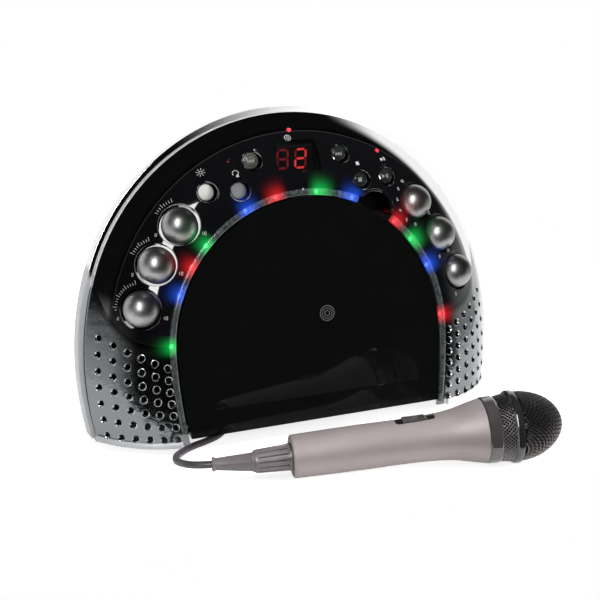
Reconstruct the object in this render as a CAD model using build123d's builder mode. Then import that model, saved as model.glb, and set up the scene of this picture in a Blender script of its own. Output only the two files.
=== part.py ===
from build123d import *
import math
import os

os.makedirs("parts", exist_ok=True)

# Karaoke machine with a drop-down disc door, and its wired microphone.
# Millimetres. Z is up, the face looks along -Y, and z = 0 is the table top.
# The face leans back. On it, "w" runs up the lean and "n" runs out of it.

# ---- body ----
LEAN = 9.65
FOOT_H = 5.0
FACE_Y = 35.0
REAR_Y = 115.1
SHELL = 2.5
SLIP = 0.2

# ---- arches: the door opening (share 0) and the rim (share 1) ----
INNER_W = 51.5
INNER_R = 94.5
INNER_SIDE_R = 350.0
OUTER_W = 57.0
OUTER_R = 146.5
OUTER_SIDE_R = 190.0
OUTER_TURN = 20.0
ARCH_FOOT = -14.0

# ---- domed face ----
DOME_RISE = 36.5
DOME_REACH = OUTER_R - INNER_R + 2.0
RIM_SHARE = 0.925
SKIRT = 9.0
FLANGE_N = 1.5
LIP = 2.5
LIP_H = 2.8
DOME_STEPS = (0.925, 0.8, 0.65, 0.5, 0.35, 0.2, 0.1, 0.0)

# ---- speaker grille: a fan of holes square to the dome ----
GRILLE_COLUMNS = 6
GRILLE_ROWS = 7
GRILLE_HOLE_R = 1.7
GRILLE_FIRST = 0.11
GRILLE_PITCH = 0.1405
GRILLE_BOTTOM = 10.0
GRILLE_HEIGHT = 45.5
GRILLE_GROWTH = 3.3

# ---- door opening, light ring, well ----
RING_IN = 0.8
RING_OUT = -3.8
RING_N = 33.2
RING_TOP = 36.8
WALL_IN = RING_OUT - SLIP
WALL_OUT = WALL_IN - SHELL
WELL_N = 14.5
WELL_FLOOR = 17.0
WELL_STEP = 19.0
WELL_FOOT = 1.6
SILL_T = 2.4
SILL_N = 21.3
DISH_R = 63.0
NOTCH_R = 12.0
NOTCH_ANGLE = 58.0
NOTCH_N = 26.0
NOTCH_WALL = 1.6

# ---- door and hinge ----
DOOR_GAP = 1.0
DOOR_T = 3.0
DOOR_N = 36.0
DOOR_FOOT = -2.0
BAND_TOP = 14.0
BAND_FLARE = 2.3
HINGE_W = 5.0
HINGE_N = 31.5
PIN_R = 1.25
PIN_FIT = 0.05
LUG_R = 3.4
LUG_W = 8.6
PIN_L = 13.6

# ---- disc and mechanism ----
DISC_R = 60.0
DISC_HOLE_R = 7.5
DISC_T = 1.2
DISC_W = 69.4
DISC_N = 20.3
HUB_R = 7.3
HUB_H = 3.3
TABLE_R = 13.5
TABLE_T = 2.3
SPINDLE_R = 1.0
BEARING_FIT = 0.05
SPINDLE_HOLE_R = 15.0
MOTOR_R = 12.0
DECK_T = 3.0
MOTOR_TOP = 11.4
DECK_X = 29.0
DECK_L = 110.0
DECK_H = 60.0
DECK_SCREW_X = 49.0
DECK_SCREW_W = 24.0
DAMPER_TOP = 9.0
DECK_SCREW_R = 1.3
RAIL_R = 1.5
RAIL_GAP = 15.0
RAIL_N = 8.0
SLED_L = 26.0
SLED_HALF_W = 19.0
SLED_START = 16.0
SLED_TRAVEL = 33.0
SLED_BOTTOM = 5.0
SLED_TOP = 12.0
LENS_X = 25.0
LENS_HOLDER_R = 5.0
LENS_TOP = 18.4
SCREW_W = -22.0
SCREW_N = 8.1
SCREW_R = 1.4
SLED_MOTOR_R = 5.0

# ---- controls ----
KNOB_R = 12.5
KNOB_RISE = 12.5
KNOB_SINK = 4.0
KNOB_RECESS_R = 14.75
KNOB_FLOOR = 4.5
KNOB_CUP_WALL = 2.0
KNOB_SHAFT_R = 2.5
BUSHING_R = 3.5
POT_R = 8.0
POT_H = 7.0
BUTTON_R = 5.25
BUTTON_RECESS_R = 6.5
BUTTON_SINK = 2.9
BUTTON_TRAVEL = 1.2
BUTTON_FLOOR_T = 1.6
BOARD_N = 9.6
BOARD_T = 1.6
BOARD_SHARE = 0.75
BOARD_UNDER_KNOB = 16.1
BOARD_PAST_KNOB = 0.3
BOARD_POST_R = 3.0
BOARD_SCREW_R = 0.95
BOARD_HEAD = (2.4, 1.4)
SWITCH_TOP = 15.1
SWITCH_SIZE = 6.0
SWITCH_TIP = (1.7, 0.6)
DISPLAY_SHARE = 0.4487
DISPLAY_SIZE = (28.0, 17.0)
DIGITS_DROP = 3.5
DIGITS_SIZE = (25.0, 19.0)
DIGITS_N = 19.2
LED_R = 1.5

# ---- speakers ----
SPEAKER_SHARE = 0.4841
SPEAKER_ANGLE = -0.455
SPEAKER_ROOM = 6.5
SPEAKER_R = (OUTER_R - INNER_R) / 2 - SPEAKER_ROOM
SPEAKER_N = 4.0
SPEAKER_RIM = 4.0
SPEAKER_DEPTH = 12.0
CONE_DEPTH = 8.6
MAGNET_INSET = 8.5
MAGNET_R = SPEAKER_R - MAGNET_INSET
MAGNET_T = 7.0

# ---- base ----
BASE_Z = 6.2
BASE_T = 2.3
CHIN_Y = 13.0
FOOT_R = 7.0
FEET_X = 78.0
FEET_Y = (36.0, 98.0)

# ---- rear housing ----
REAR_RISE = 15.0
REAR_SHRINK = 36.5
REAR_TURN = 15.0
REAR_SIDE_R = 220.0
TONGUE = 4.0
TONGUE_T = 1.5
BOSS_WALL = 1.8
HEAD_R = 3.2
BAY_X = (-46.0, 72.0)
BAY_Z = (14.0, 40.0)
BAY_DEPTH = 10.0
JACK_Z = 27.0
POWER_X = -34.0
MIC_JACK_X = (-14.0, 8.0)
AV_JACK_X = (30.0, 45.0, 60.0)
MIC_JACK_R = 3.2
MIC_COLLAR_R = 5.0
AV_R = 4.15
POWER_R = 2.75
MAIN_BOARD = (146.0, 42.0)
MAIN_BOARD_AT = (2.0, 80.0)
MAIN_BOARD_Z = 16.0

# ---- microphone ----
MIC_TAIL = (-44.6, -60.5, 13.27)
MIC_HEADING = -13.4
MIC_RISE = 4.14
MIC_LENGTH = 172.0
MIC_RING_T = 139.5
MIC_RING_R = 23.0
MIC_WALL = 2.0
BOOT_SLEEVE = 23.0
BOOT_CONE = 25.5
BOOT_BEND = 10.0

# ---- cord ----
CORD_R = 2.3
COIL_AT = (-22.0, 153.0)
COIL_R = 27.0
COIL_WIDTH = 15.5
COIL_HEIGHT = 14.0
PLUG_R = 6.3

DIAGONAL = math.sqrt(0.5)
COS = math.cos(math.radians(LEAN))
SIN = math.sin(math.radians(LEAN))
OUT = Vector(0, -COS, SIN)
UP = Vector(0, SIN, COS)
FACE_ORIGIN = Vector(0, FACE_Y, FOOT_H)
DECK_W = DISC_W


# ================= helpers =================
def on_face(x, w, n):
    """The point x across, w up the lean and n out of the face."""
    return FACE_ORIGIN + Vector(x, 0, 0) + UP * w + OUT * n


def level(n, x=0.0, w=0.0):
    """A plane parallel to the face, n in front of its rim."""
    return Plane(origin=on_face(x, w, n), x_dir=(1, 0, 0), z_dir=OUT)


def across(x, w, n):
    """A plane whose normal runs along +X, with its own x out of the face."""
    return Plane(origin=on_face(x, w, n), x_dir=OUT, z_dir=(1, 0, 0))


def arch(share):
    """Centre, radius and turn of the top arc, then centre and radius of the side arc."""
    centre = INNER_W + share * (OUTER_W - INNER_W)
    top = INNER_R + share * (OUTER_R - INNER_R)
    turn = math.radians(share * OUTER_TURN)
    side = 1 / (1 / INNER_SIDE_R + share * (1 / OUTER_SIDE_R - 1 / INNER_SIDE_R))
    side_x = (top - side) * math.cos(turn)
    side_w = centre + (top - side) * math.sin(turn)
    return centre, top, turn, side_x, side_w, side


def arch_shape(share, inset=0.0, foot=ARCH_FOOT):
    """The arch of this share as a sketch, drawn in by inset and closed by a straight foot."""
    return arch_sketch(*arch(share), inset, foot)


def arch_sketch(centre, top, turn, side_x, side_w, side, inset, foot):
    """A sketch bounded by a top arc, two side arcs that run on from it, and a straight foot."""
    top -= inset
    side -= inset
    low = math.asin((foot - side_w) / side)
    half = (low + turn) / 2
    corner = (side_x + side * math.cos(low), foot)
    belly = (side_x + side * math.cos(half), side_w + side * math.sin(half))
    join = (top * math.cos(turn), centre + top * math.sin(turn))
    with BuildSketch(Plane.XY, mode=Mode.PRIVATE) as shape:
        with BuildLine():
            ThreePointArc(corner, belly, join)
            ThreePointArc(join, (0, centre + top), (-join[0], join[1]))
            ThreePointArc((-join[0], join[1]), (-belly[0], belly[1]), (-corner[0], corner[1]))
            Line((-corner[0], corner[1]), corner)
        make_face()
    return shape.sketch


def arch_point(share, angle, side=1):
    """The (x, w) where the arch of this share faces up by angle, in degrees, on the right or the left."""
    centre, top, turn, side_x, side_w, side_r = arch(share)
    lean = math.radians(angle)
    if lean >= turn:
        return side * top * math.cos(lean), centre + top * math.sin(lean)
    return side * (side_x + side_r * math.cos(lean)), side_w + side_r * math.sin(lean)


def dome_height(share):
    return DOME_RISE * (1 - share * share)


def moved_edge(share, offset_by):
    """Height and inset of the arch of this share on a dome moved along its normal."""
    slope = math.atan(2 * DOME_RISE * share / DOME_REACH)
    return dome_height(share) + offset_by * math.cos(slope), -offset_by * math.sin(slope)


def dome(offset_by=0.0):
    """The solid under the domed face, with the face moved along its normal by offset_by."""
    with BuildPart(mode=Mode.PRIVATE) as body:
        for share in DOME_STEPS:
            height, inset = moved_edge(share, offset_by)
            with BuildSketch(level(height)):
                add(arch_shape(share, inset))
        loft()
    return body.part


def arch_gap(share, x, w):
    """How far (x, w) lies outside the arch of this share."""
    centre, top, turn, side_x, side_w, side = arch(share)
    x = abs(x)
    if math.atan2(w - centre, x) >= turn:
        return math.hypot(x, w - centre) - top
    return math.hypot(x - side_x, w - side_w) - side


def dome_share(x, w):
    """The share of the arch that passes through (x, w)."""
    low, high = 0.0, 1.2
    for _ in range(40):
        middle = (low + high) / 2
        if arch_gap(middle, x, w) > 0:
            low = middle
        else:
            high = middle
    return (low + high) / 2


def dome_n(x, w):
    return dome_height(dome_share(x, w))


def dome_plane(x, w):
    """A plane on the dome at (x, w), with its normal out of the surface."""
    step = 0.05
    rise_x = (dome_n(x + step, w) - dome_n(x - step, w)) / (2 * step)
    rise_w = (dome_n(x, w + step) - dome_n(x, w - step)) / (2 * step)
    normal = (Vector(-rise_x, 0, 0) + UP * -rise_w + OUT).normalized()
    sideways = Vector(0, 0, 1).cross(normal).normalized()
    return Plane(origin=on_face(x, w, dome_n(x, w)), x_dir=sideways, z_dir=normal)


def grille_points():
    """The places of the grille holes of the right-hand lobe, as (x, w)."""
    points = []
    for column in range(GRILLE_COLUMNS):
        share = GRILLE_FIRST + GRILLE_PITCH * column
        tall = GRILLE_HEIGHT + GRILLE_GROWTH * column
        centre, top, turn, side_x, side_w, side = arch(share)
        for row in range(GRILLE_ROWS):
            height = GRILLE_BOTTOM + tall * row / (GRILLE_ROWS - 1) - FOOT_H
            w = (height - dome_height(share) * SIN) / COS
            angle = math.asin((w - side_w) / side)
            if angle < turn:
                x = side_x + side * math.cos(angle)
            else:
                x = math.sqrt(top ** 2 - (w - centre) ** 2)
            points.append((x, w))
    return points


def save(part, name):
    part.label = name
    export_step(part, f"parts/{name}.step")


# ================= places shared by several pieces =================
# each as its share of the way from the door opening to the rim, and its angle round the arch
KNOBS = {
    "auto_voice_knob": arch_point(0.4136, 43.821, -1),
    "echo_knob": arch_point(0.4123, 29.409, -1),
    "mic_volume_knob": arch_point(0.4302, 14.79, -1),
    "volume_knob": arch_point(0.4136, 43.821),
    "balance_knob": arch_point(0.4123, 29.409),
    "music_tone_knob": arch_point(0.4302, 14.79),
}
BUTTONS = {
    "light_button": arch_point(0.4336, 57.319, -1),
    "repeat_button": arch_point(0.2559, 66.667, -1),
    "previous_button": arch_point(0.4823, 75.074, -1),
    "next_button": arch_point(0.4823, 75.074),
    "stop_button": arch_point(0.2559, 66.667),
    "play_button": arch_point(0.4336, 57.319),
}
LEDS_AT = (arch_point(0.7235, 90), arch_point(0.6824, 61.512), arch_point(0.5791, 68.338, -1))
DISPLAY_W = arch_point(DISPLAY_SHARE, 90)[1]
DIGITS_W = DISPLAY_W - DIGITS_DROP
RING_LED_ANGLES = (176, 156.5, 145, 135, 114.5, 101, 84, 68.5, 47.5, 37, 24, 2.5)
NOTCH_X = INNER_R * math.cos(math.radians(NOTCH_ANGLE))
NOTCH_W = INNER_W + INNER_R * math.sin(math.radians(NOTCH_ANGLE))
BUTTON_FACE = {name: dome_n(*at) - BUTTON_SINK for name, at in BUTTONS.items()}
BUTTON_FLOOR = {name: face - 0.7 for name, face in BUTTON_FACE.items()}
BUTTON_FLANGE_R = BUTTON_R + 0.8


def button_under(name):
    """The height of a button's flange, just under its floor and the shell beside it."""
    x, w = BUTTONS[name]
    away = BUTTON_FLANGE_R / math.hypot(x, w - INNER_W)
    outer = dome_share(x * (1 + away), w + (w - INNER_W) * away)
    shell_under, _ = moved_edge(outer, -SHELL * 1.6)
    return min(BUTTON_FLOOR[name] - BUTTON_FLOOR_T, shell_under) - SLIP


BOARD_TOP = BOARD_N + BOARD_T
BOARD_FOOT = KNOBS["volume_knob"][1] - BOARD_UNDER_KNOB
BOARD_HALF = KNOBS["volume_knob"][0] + BOARD_PAST_KNOB
BOARD_POSTS = [arch_point(*at, side) for at in ((0.2328, 51.75), (0.2398, 78.131)) for side in (-1, 1)]
SCREW_POSTS = [arch_point(*at, side) for at in ((0.615, 7.299), (0.7196, 45.781)) for side in (-1, 1)]
SCREW_POST_R = 4.0
SCREW_SEAT_N = -16.0
SPEAKER_X, SPEAKER_W = arch_point(SPEAKER_SHARE, SPEAKER_ANGLE)
SPEAKER_POST_R = 2.5
SPEAKER_POST_AT = SPEAKER_R - 2.1
SPEAKER_POSTS = [
    (side * SPEAKER_X + SPEAKER_POST_AT * math.cos(math.radians(angle)),
     SPEAKER_W + SPEAKER_POST_AT * math.sin(math.radians(angle)))
    for side in (-1, 1)
    for angle in (45, 135, 225, 315)
]
DECK_SCREWS = [
    (DECK_X + i * DECK_SCREW_X, DECK_W + j * DECK_SCREW_W) for i in (-1, 1) for j in (-1, 1)
]


# ================= front fascia =================
with BuildPart() as bottom_lip:
    # the lip that stands out round the foot of each grille lobe
    add(dome(LIP))
    rim_n, rim_inset = moved_edge(RIM_SHARE, LIP)
    with BuildSketch(level(FLANGE_N)):
        add(arch_shape(RIM_SHARE, inset=rim_inset))
    extrude(amount=rim_n - FLANGE_N)
    split(bisect_by=Plane.XY.offset(FOOT_H + LIP_H), keep=Keep.BOTTOM)

with BuildPart() as cavity:
    # the space inside the shell, with the bosses and walls left out of it
    add(dome(-SHELL))
    rim_n, rim_inset = moved_edge(RIM_SHARE, -SHELL)
    with BuildSketch(level(-SKIRT)):
        add(arch_shape(RIM_SHARE, inset=rim_inset))
    extrude(amount=SKIRT + rim_n)
    with BuildSketch(level(-SKIRT)):
        add(arch_shape(1, inset=SHELL))
    extrude(amount=SKIRT + FLANGE_N - SHELL)
    split(bisect_by=Plane.XY.offset(FOOT_H + SHELL), keep=Keep.TOP)
    # wall round the door opening
    with BuildSketch(level(-SKIRT)):
        add(arch_shape(0, inset=WALL_OUT))
    extrude(amount=SKIRT + DOME_RISE, mode=Mode.SUBTRACT)
    # cups under the knobs, square to the dome
    for place in KNOBS.values():
        with BuildSketch(dome_plane(*place).offset(-KNOB_FLOOR - KNOB_CUP_WALL)):
            Circle(KNOB_RECESS_R + KNOB_CUP_WALL)
        extrude(amount=KNOB_FLOOR + KNOB_CUP_WALL + 2, mode=Mode.SUBTRACT)
    # cups under the buttons
    for name, (x, w) in BUTTONS.items():
        with BuildSketch(level(BUTTON_FLOOR[name] - BUTTON_FLOOR_T, x, w)):
            Circle(BUTTON_RECESS_R + BUTTON_FLOOR_T)
        extrude(amount=12, mode=Mode.SUBTRACT)
    # posts for the control board, the rear housing's screws and the speakers
    with BuildSketch(level(BOARD_TOP)):
        with Locations(*BOARD_POSTS):
            Circle(BOARD_POST_R)
    extrude(amount=DOME_RISE, mode=Mode.SUBTRACT)
    with BuildSketch(level(-SKIRT)):
        with Locations(*SCREW_POSTS):
            Circle(SCREW_POST_R)
    extrude(amount=SKIRT + DOME_RISE, mode=Mode.SUBTRACT)
    with BuildSketch(level(SPEAKER_N)):
        with Locations(*SPEAKER_POSTS):
            Circle(SPEAKER_POST_R)
    extrude(amount=DOME_RISE, mode=Mode.SUBTRACT)
    # room for the pots behind their cups
    for place in KNOBS.values():
        with BuildSketch(dome_plane(*place).offset(-KNOB_FLOOR - KNOB_CUP_WALL)):
            Circle(POT_R + SLIP)
        extrude(amount=-POT_H - SLIP)
    # cup behind the thumb notch
    with BuildSketch(level(NOTCH_N - NOTCH_WALL, NOTCH_X, NOTCH_W)):
        Circle(NOTCH_R + NOTCH_WALL)
    extrude(amount=DOME_RISE, mode=Mode.SUBTRACT)

with BuildPart() as front_fascia:
    with BuildSketch(level(-SKIRT)):
        add(arch_shape(1))
    extrude(amount=SKIRT + FLANGE_N)
    with BuildSketch(level(-SKIRT)):
        add(arch_shape(RIM_SHARE))
    extrude(amount=SKIRT + dome_height(RIM_SHARE))
    add(dome())
    add(bottom_lip.part)
    add(cavity.part, mode=Mode.SUBTRACT)
    split(bisect_by=Plane.XY.offset(FOOT_H), keep=Keep.TOP)
    # door opening
    with BuildSketch(level(-SKIRT - 1)):
        add(arch_shape(0, inset=WALL_IN))
    extrude(amount=SKIRT + DOME_RISE + 5, mode=Mode.SUBTRACT)
    # thumb notch
    with BuildSketch(level(NOTCH_N, NOTCH_X, NOTCH_W)):
        Circle(NOTCH_R)
    extrude(amount=DOME_RISE, mode=Mode.SUBTRACT)
    # knob recesses and the holes for the bushings
    with Locations(*[dome_plane(*place).offset(3).location for place in KNOBS.values()]):
        CounterBoreHole(BUSHING_R + 0.1, KNOB_RECESS_R, 3 + KNOB_FLOOR, 3 + KNOB_FLOOR + 8)
    # button recesses
    for name, (x, w) in BUTTONS.items():
        with Locations(level(BUTTON_FLOOR[name] + 8, x, w).location):
            CounterBoreHole(BUTTON_R + SLIP, BUTTON_RECESS_R, 8, 8 + BUTTON_FLOOR[name] - button_under(name))
    # display window and indicator holes
    with BuildSketch(level(DIGITS_N - 5, 0, DISPLAY_W)):
        Rectangle(*DISPLAY_SIZE)
    extrude(amount=DOME_RISE, mode=Mode.SUBTRACT)
    with Locations(*[dome_plane(*place).offset(2).location for place in LEDS_AT]):
        Hole(LED_R + SLIP, 2 + SHELL * 2)
    # pilot holes in the posts
    with Locations(*[level(-SKIRT - 1, x, w).location * Rotation(180, 0, 0) for x, w in SCREW_POSTS]):
        Hole(1.25, 10)
    with Locations(*[level(BOARD_TOP - 1, x, w).location * Rotation(180, 0, 0) for x, w in BOARD_POSTS]):
        Hole(1.0, 7)
    # the fan of grille holes
    with Locations(*[dome_plane(side * x, w).offset(2).location
                     for side in (-1, 1) for x, w in grille_points()]):
        Hole(GRILLE_HOLE_R, 2 + SHELL + 1)
save(front_fascia.part, "front_fascia")


# ================= light ring, window, indicators =================
with BuildPart() as light_ring:
    with BuildSketch(level(RING_N)):
        add(arch_shape(0, RING_OUT))
        add(arch_shape(0, RING_IN), mode=Mode.SUBTRACT)
        with Locations((NOTCH_X, NOTCH_W)):
            Circle(NOTCH_R + NOTCH_WALL, mode=Mode.SUBTRACT)
    extrude(amount=RING_TOP - RING_N)
    split(bisect_by=Plane.XY.offset(FOOT_H + SHELL), keep=Keep.TOP)
save(light_ring.part, "light_ring")

RING_LED_MID = INNER_R - (RING_IN + RING_OUT) / 2
with BuildPart() as ring_leds:
    # small domed lamps, sunk in the well's wall under the ring
    with BuildSketch(level(RING_N - 3.4)):
        with Locations((0, INNER_W)):
            for angle in RING_LED_ANGLES:
                with PolarLocations(RING_LED_MID, 1, start_angle=angle):
                    Circle(LED_R)
    extrude(amount=3.2)
save(ring_leds.part, "ring_leds")

with BuildPart() as display_window:
    add(dome())
    with BuildSketch(level(0, 0, DISPLAY_W)):
        Rectangle(DISPLAY_SIZE[0] - 2 * SLIP, DISPLAY_SIZE[1] - 2 * SLIP)
    extrude(amount=DOME_RISE + 5, mode=Mode.INTERSECT)
    add(dome(-SHELL), mode=Mode.SUBTRACT)
save(display_window.part, "display_window")

with BuildPart() as display_module:
    with BuildSketch(level(BOARD_TOP, 0, DIGITS_W)):
        Rectangle(*DIGITS_SIZE)
    extrude(amount=DIGITS_N - BOARD_TOP)
save(display_module.part, "display_module")

with BuildPart() as status_leds:
    # three round lamps whose tips fill the fascia's indicator holes
    for place in LEDS_AT:
        with BuildSketch(dome_plane(*place)):
            Circle(LED_R)
        extrude(amount=-6)
save(status_leds.part, "status_leds")

# ================= control board and its switches =================
with BuildPart() as control_board:
    with BuildSketch(level(BOARD_N)):
        add(arch_shape(BOARD_SHARE, inset=0.8))
        with Locations((0, INNER_W)):
            Circle(INNER_R + 8.5, mode=Mode.SUBTRACT)
        with Locations((0, BOARD_FOOT)):
            Rectangle(2 * OUTER_R, OUTER_R * 2, align=(Align.CENTER, Align.MAX), mode=Mode.SUBTRACT)
        for side in (-1, 1):
            with Locations((side * (BOARD_HALF + OUTER_R / 2), BOARD_FOOT)):
                Rectangle(OUTER_R, 2 * OUTER_R, mode=Mode.SUBTRACT)
    extrude(amount=BOARD_T)
    with Locations(*[level(BOARD_N, x, w).location * Rotation(180, 0, 0) for x, w in BOARD_POSTS]):
        Hole(1.3, BOARD_T + 1)
save(control_board.part, "control_board")

with BuildPart() as board_screws:
    with BuildSketch(level(BOARD_N - BOARD_HEAD[1])):
        with Locations(*BOARD_POSTS):
            Circle(BOARD_HEAD[0])
    extrude(amount=BOARD_HEAD[1])
    with BuildSketch(level(BOARD_N)):
        with Locations(*BOARD_POSTS):
            Circle(BOARD_SCREW_R)
    extrude(amount=BOARD_T + 5)
save(board_screws.part, "board_screws")

with BuildPart() as tact_switches:
    with BuildSketch(level(BOARD_TOP)):
        with Locations(*BUTTONS.values()):
            Rectangle(SWITCH_SIZE, SWITCH_SIZE)
    extrude(amount=SWITCH_TOP - SWITCH_TIP[1] - BOARD_TOP)
    with BuildSketch(level(SWITCH_TOP - SWITCH_TIP[1])):
        with Locations(*BUTTONS.values()):
            Circle(SWITCH_TIP[0])
    extrude(amount=SWITCH_TIP[1])
save(tact_switches.part, "tact_switches")

# ================= knobs and their pots =================
with BuildPart() as pot_bodies:
    for place in KNOBS.values():
        floor = dome_plane(*place).offset(-KNOB_FLOOR)
        seat = floor.offset(-KNOB_CUP_WALL)
        with BuildSketch(seat.offset(-POT_H)):
            Circle(POT_R)
        extrude(amount=POT_H)
        with BuildSketch(seat):
            Circle(BUSHING_R)
        extrude(amount=KNOB_CUP_WALL + 3)
        with BuildSketch(floor):
            RegularPolygon(5.5, 6)
        extrude(amount=2)
        with Locations(floor.offset(3).location):
            Hole(KNOB_SHAFT_R + BEARING_FIT, 3 + KNOB_CUP_WALL + POT_H - 1)
save(pot_bodies.part, "pot_bodies")


def knob(place):
    """A domed knob with a hollow skirt and its shaft, turned about the dome's normal."""
    face = dome_plane(*place)
    section = Plane(origin=face.origin, x_dir=face.x_dir, z_dir=-face.y_dir)
    bottom = -KNOB_SINK
    with BuildPart(mode=Mode.PRIVATE) as body:
        with BuildSketch(section):
            with BuildLine():
                Line((0, KNOB_RISE), (0, -KNOB_FLOOR - KNOB_CUP_WALL - POT_H + 2))
                Line((0, -KNOB_FLOOR - KNOB_CUP_WALL - POT_H + 2),
                     (KNOB_SHAFT_R, -KNOB_FLOOR - KNOB_CUP_WALL - POT_H + 2))
                Line((KNOB_SHAFT_R, -KNOB_FLOOR - KNOB_CUP_WALL - POT_H + 2), (KNOB_SHAFT_R, 1.0))
                Line((KNOB_SHAFT_R, 1.0), (7.5, 1.0))
                Line((7.5, 1.0), (7.5, bottom))
                Line((7.5, bottom), (KNOB_R, bottom))
                Line((KNOB_R, bottom), (KNOB_R, 0.0))
                ThreePointArc((KNOB_R, 0), (KNOB_R * DIAGONAL, KNOB_RISE * DIAGONAL), (0, KNOB_RISE))
            make_face()
        revolve(axis=Axis(face.origin, face.z_dir))
    return body.part


for knob_name, knob_place in KNOBS.items():
    save(knob(knob_place), knob_name)


def button(name, place):
    """A round button cap with its retaining flange and the stem that reaches its switch."""
    x, w = place
    face = BUTTON_FACE[name]
    under = button_under(name)
    stem_end = SWITCH_TOP + BUTTON_TRAVEL + 0.3
    with BuildPart(mode=Mode.PRIVATE) as body:
        with BuildSketch(level(under - 1, x, w)):
            Circle(BUTTON_FLANGE_R)
        extrude(amount=1)
        with BuildSketch(level(under, x, w)):
            Circle(BUTTON_R)
        extrude(amount=face - under)
        chamfer(body.edges().group_by(Axis(on_face(x, w, face), OUT))[-1], 0.4)
        with BuildSketch(level(stem_end, x, w)):
            Circle(2.2)
        extrude(amount=under - stem_end)
    return body.part


for button_name, button_place in BUTTONS.items():
    save(button(button_name, button_place), button_name)

# ================= speakers =================
CONE_MOUTH = SPEAKER_R - SPEAKER_RIM
CONE_EDGE = CONE_MOUTH - 0.3
CONE_BACK = SPEAKER_N - CONE_DEPTH
CAP_R = 5.5
BASKET_T = 1.2
BASKET_BACK = SPEAKER_N - SPEAKER_DEPTH
BASKET_FLOOR_R = MAGNET_R + BASKET_T
with BuildPart() as speaker_baskets:
    for side in (-1, 1):
        section = Plane(origin=on_face(side * SPEAKER_X, SPEAKER_W, 0), x_dir=(1, 0, 0), z_dir=-UP)
        with BuildSketch(section):
            with BuildLine():
                Polyline((CONE_MOUTH, SPEAKER_N), (SPEAKER_R, SPEAKER_N), (SPEAKER_R, SPEAKER_N - BASKET_T),
                         (CONE_MOUTH + BASKET_T + 0.1, SPEAKER_N - BASKET_T), (BASKET_FLOOR_R, BASKET_BACK),
                         (0, BASKET_BACK), (0, BASKET_BACK + BASKET_T),
                         (BASKET_FLOOR_R - 1, BASKET_BACK + BASKET_T), (CONE_MOUTH, SPEAKER_N - 1.8), close=True)
            make_face()
        revolve(axis=Axis(section.origin, OUT))
save(speaker_baskets.part, "speaker_baskets")

with BuildPart() as speaker_cones:
    for side in (-1, 1):
        section = Plane(origin=on_face(side * SPEAKER_X, SPEAKER_W, 0), x_dir=(1, 0, 0), z_dir=-UP)
        with BuildSketch(section):
            with BuildLine():
                Polyline((CONE_EDGE, SPEAKER_N - 0.6), (CONE_EDGE, SPEAKER_N - 1.6), (CAP_R, CONE_BACK),
                         (0, CONE_BACK), (0, CONE_BACK + 3))
                ThreePointArc((0, CONE_BACK + 3), (CAP_R * 0.58, CONE_BACK + 2.4), (CAP_R, CONE_BACK + 1))
                Line((CAP_R, CONE_BACK + 1), (CONE_EDGE, SPEAKER_N - 0.6))
            make_face()
        revolve(axis=Axis(section.origin, OUT))
save(speaker_cones.part, "speaker_cones")

with BuildPart() as speaker_magnets:
    with BuildSketch(level(BASKET_BACK)):
        with Locations(*[(side * SPEAKER_X, SPEAKER_W) for side in (-1, 1)]):
            Circle(MAGNET_R)
    extrude(amount=-MAGNET_T)
save(speaker_magnets.part, "speaker_magnets")

# ================= disc well =================
NOTCH_CUP_R = NOTCH_R + NOTCH_WALL
with BuildPart() as disc_well:
    with BuildSketch(level(WELL_N)):
        add(arch_shape(0, RING_OUT, foot=WELL_FOOT))
    extrude(amount=RING_N - SLIP / 2 - WELL_N)
    # the compartment, open at the front and above the sill
    with BuildSketch(level(WELL_STEP)):
        add(arch_shape(0, RING_IN, foot=WELL_FOOT + SILL_T))
    extrude(amount=DOME_RISE, mode=Mode.SUBTRACT)
    with BuildSketch(level(SILL_N)):
        add(arch_shape(0, RING_IN, foot=WELL_FOOT - 1))
    extrude(amount=DOME_RISE, mode=Mode.SUBTRACT)
    with BuildSketch(level(WELL_FLOOR)):
        with Locations((0, DISC_W)):
            Circle(DISH_R)
    extrude(amount=WELL_STEP - WELL_FLOOR, mode=Mode.SUBTRACT)
    # spindle hole and the slot of the laser
    with BuildSketch(level(WELL_N)):
        with Locations((0, DISC_W)):
            Circle(SPINDLE_HOLE_R)
        with Locations((LENS_X + SLED_TRAVEL / 2, DISC_W)):
            SlotCenterToCenter(SLED_TRAVEL, 2 * (LENS_HOLDER_R + 1.5))
    extrude(amount=WELL_STEP - WELL_N, mode=Mode.SUBTRACT)
    # bosses for the deck's screws
    with BuildSketch(level(DAMPER_TOP)):
        with Locations(*DECK_SCREWS):
            Circle(4)
            Circle(DECK_SCREW_R + BEARING_FIT, mode=Mode.SUBTRACT)
    extrude(amount=WELL_N - DAMPER_TOP)
    # thumb notch, hinge pin holes and lamp pockets
    with BuildSketch(level(NOTCH_N - NOTCH_WALL - SLIP, NOTCH_X, NOTCH_W)):
        Circle(NOTCH_CUP_R + SLIP)
    extrude(amount=DOME_RISE, mode=Mode.SUBTRACT)
    with BuildSketch(across(-INNER_R * 1.2, HINGE_W, HINGE_N)):
        Circle(PIN_R + PIN_FIT)
    extrude(amount=INNER_R * 2.4, mode=Mode.SUBTRACT)
    with BuildSketch(level(RING_N - 3.5)):
        with Locations((0, INNER_W)):
            for angle in RING_LED_ANGLES:
                with PolarLocations(RING_LED_MID, 1, start_angle=angle):
                    Circle(LED_R + 0.1)
    extrude(amount=5, mode=Mode.SUBTRACT)
save(disc_well.part, "disc_well")

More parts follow.
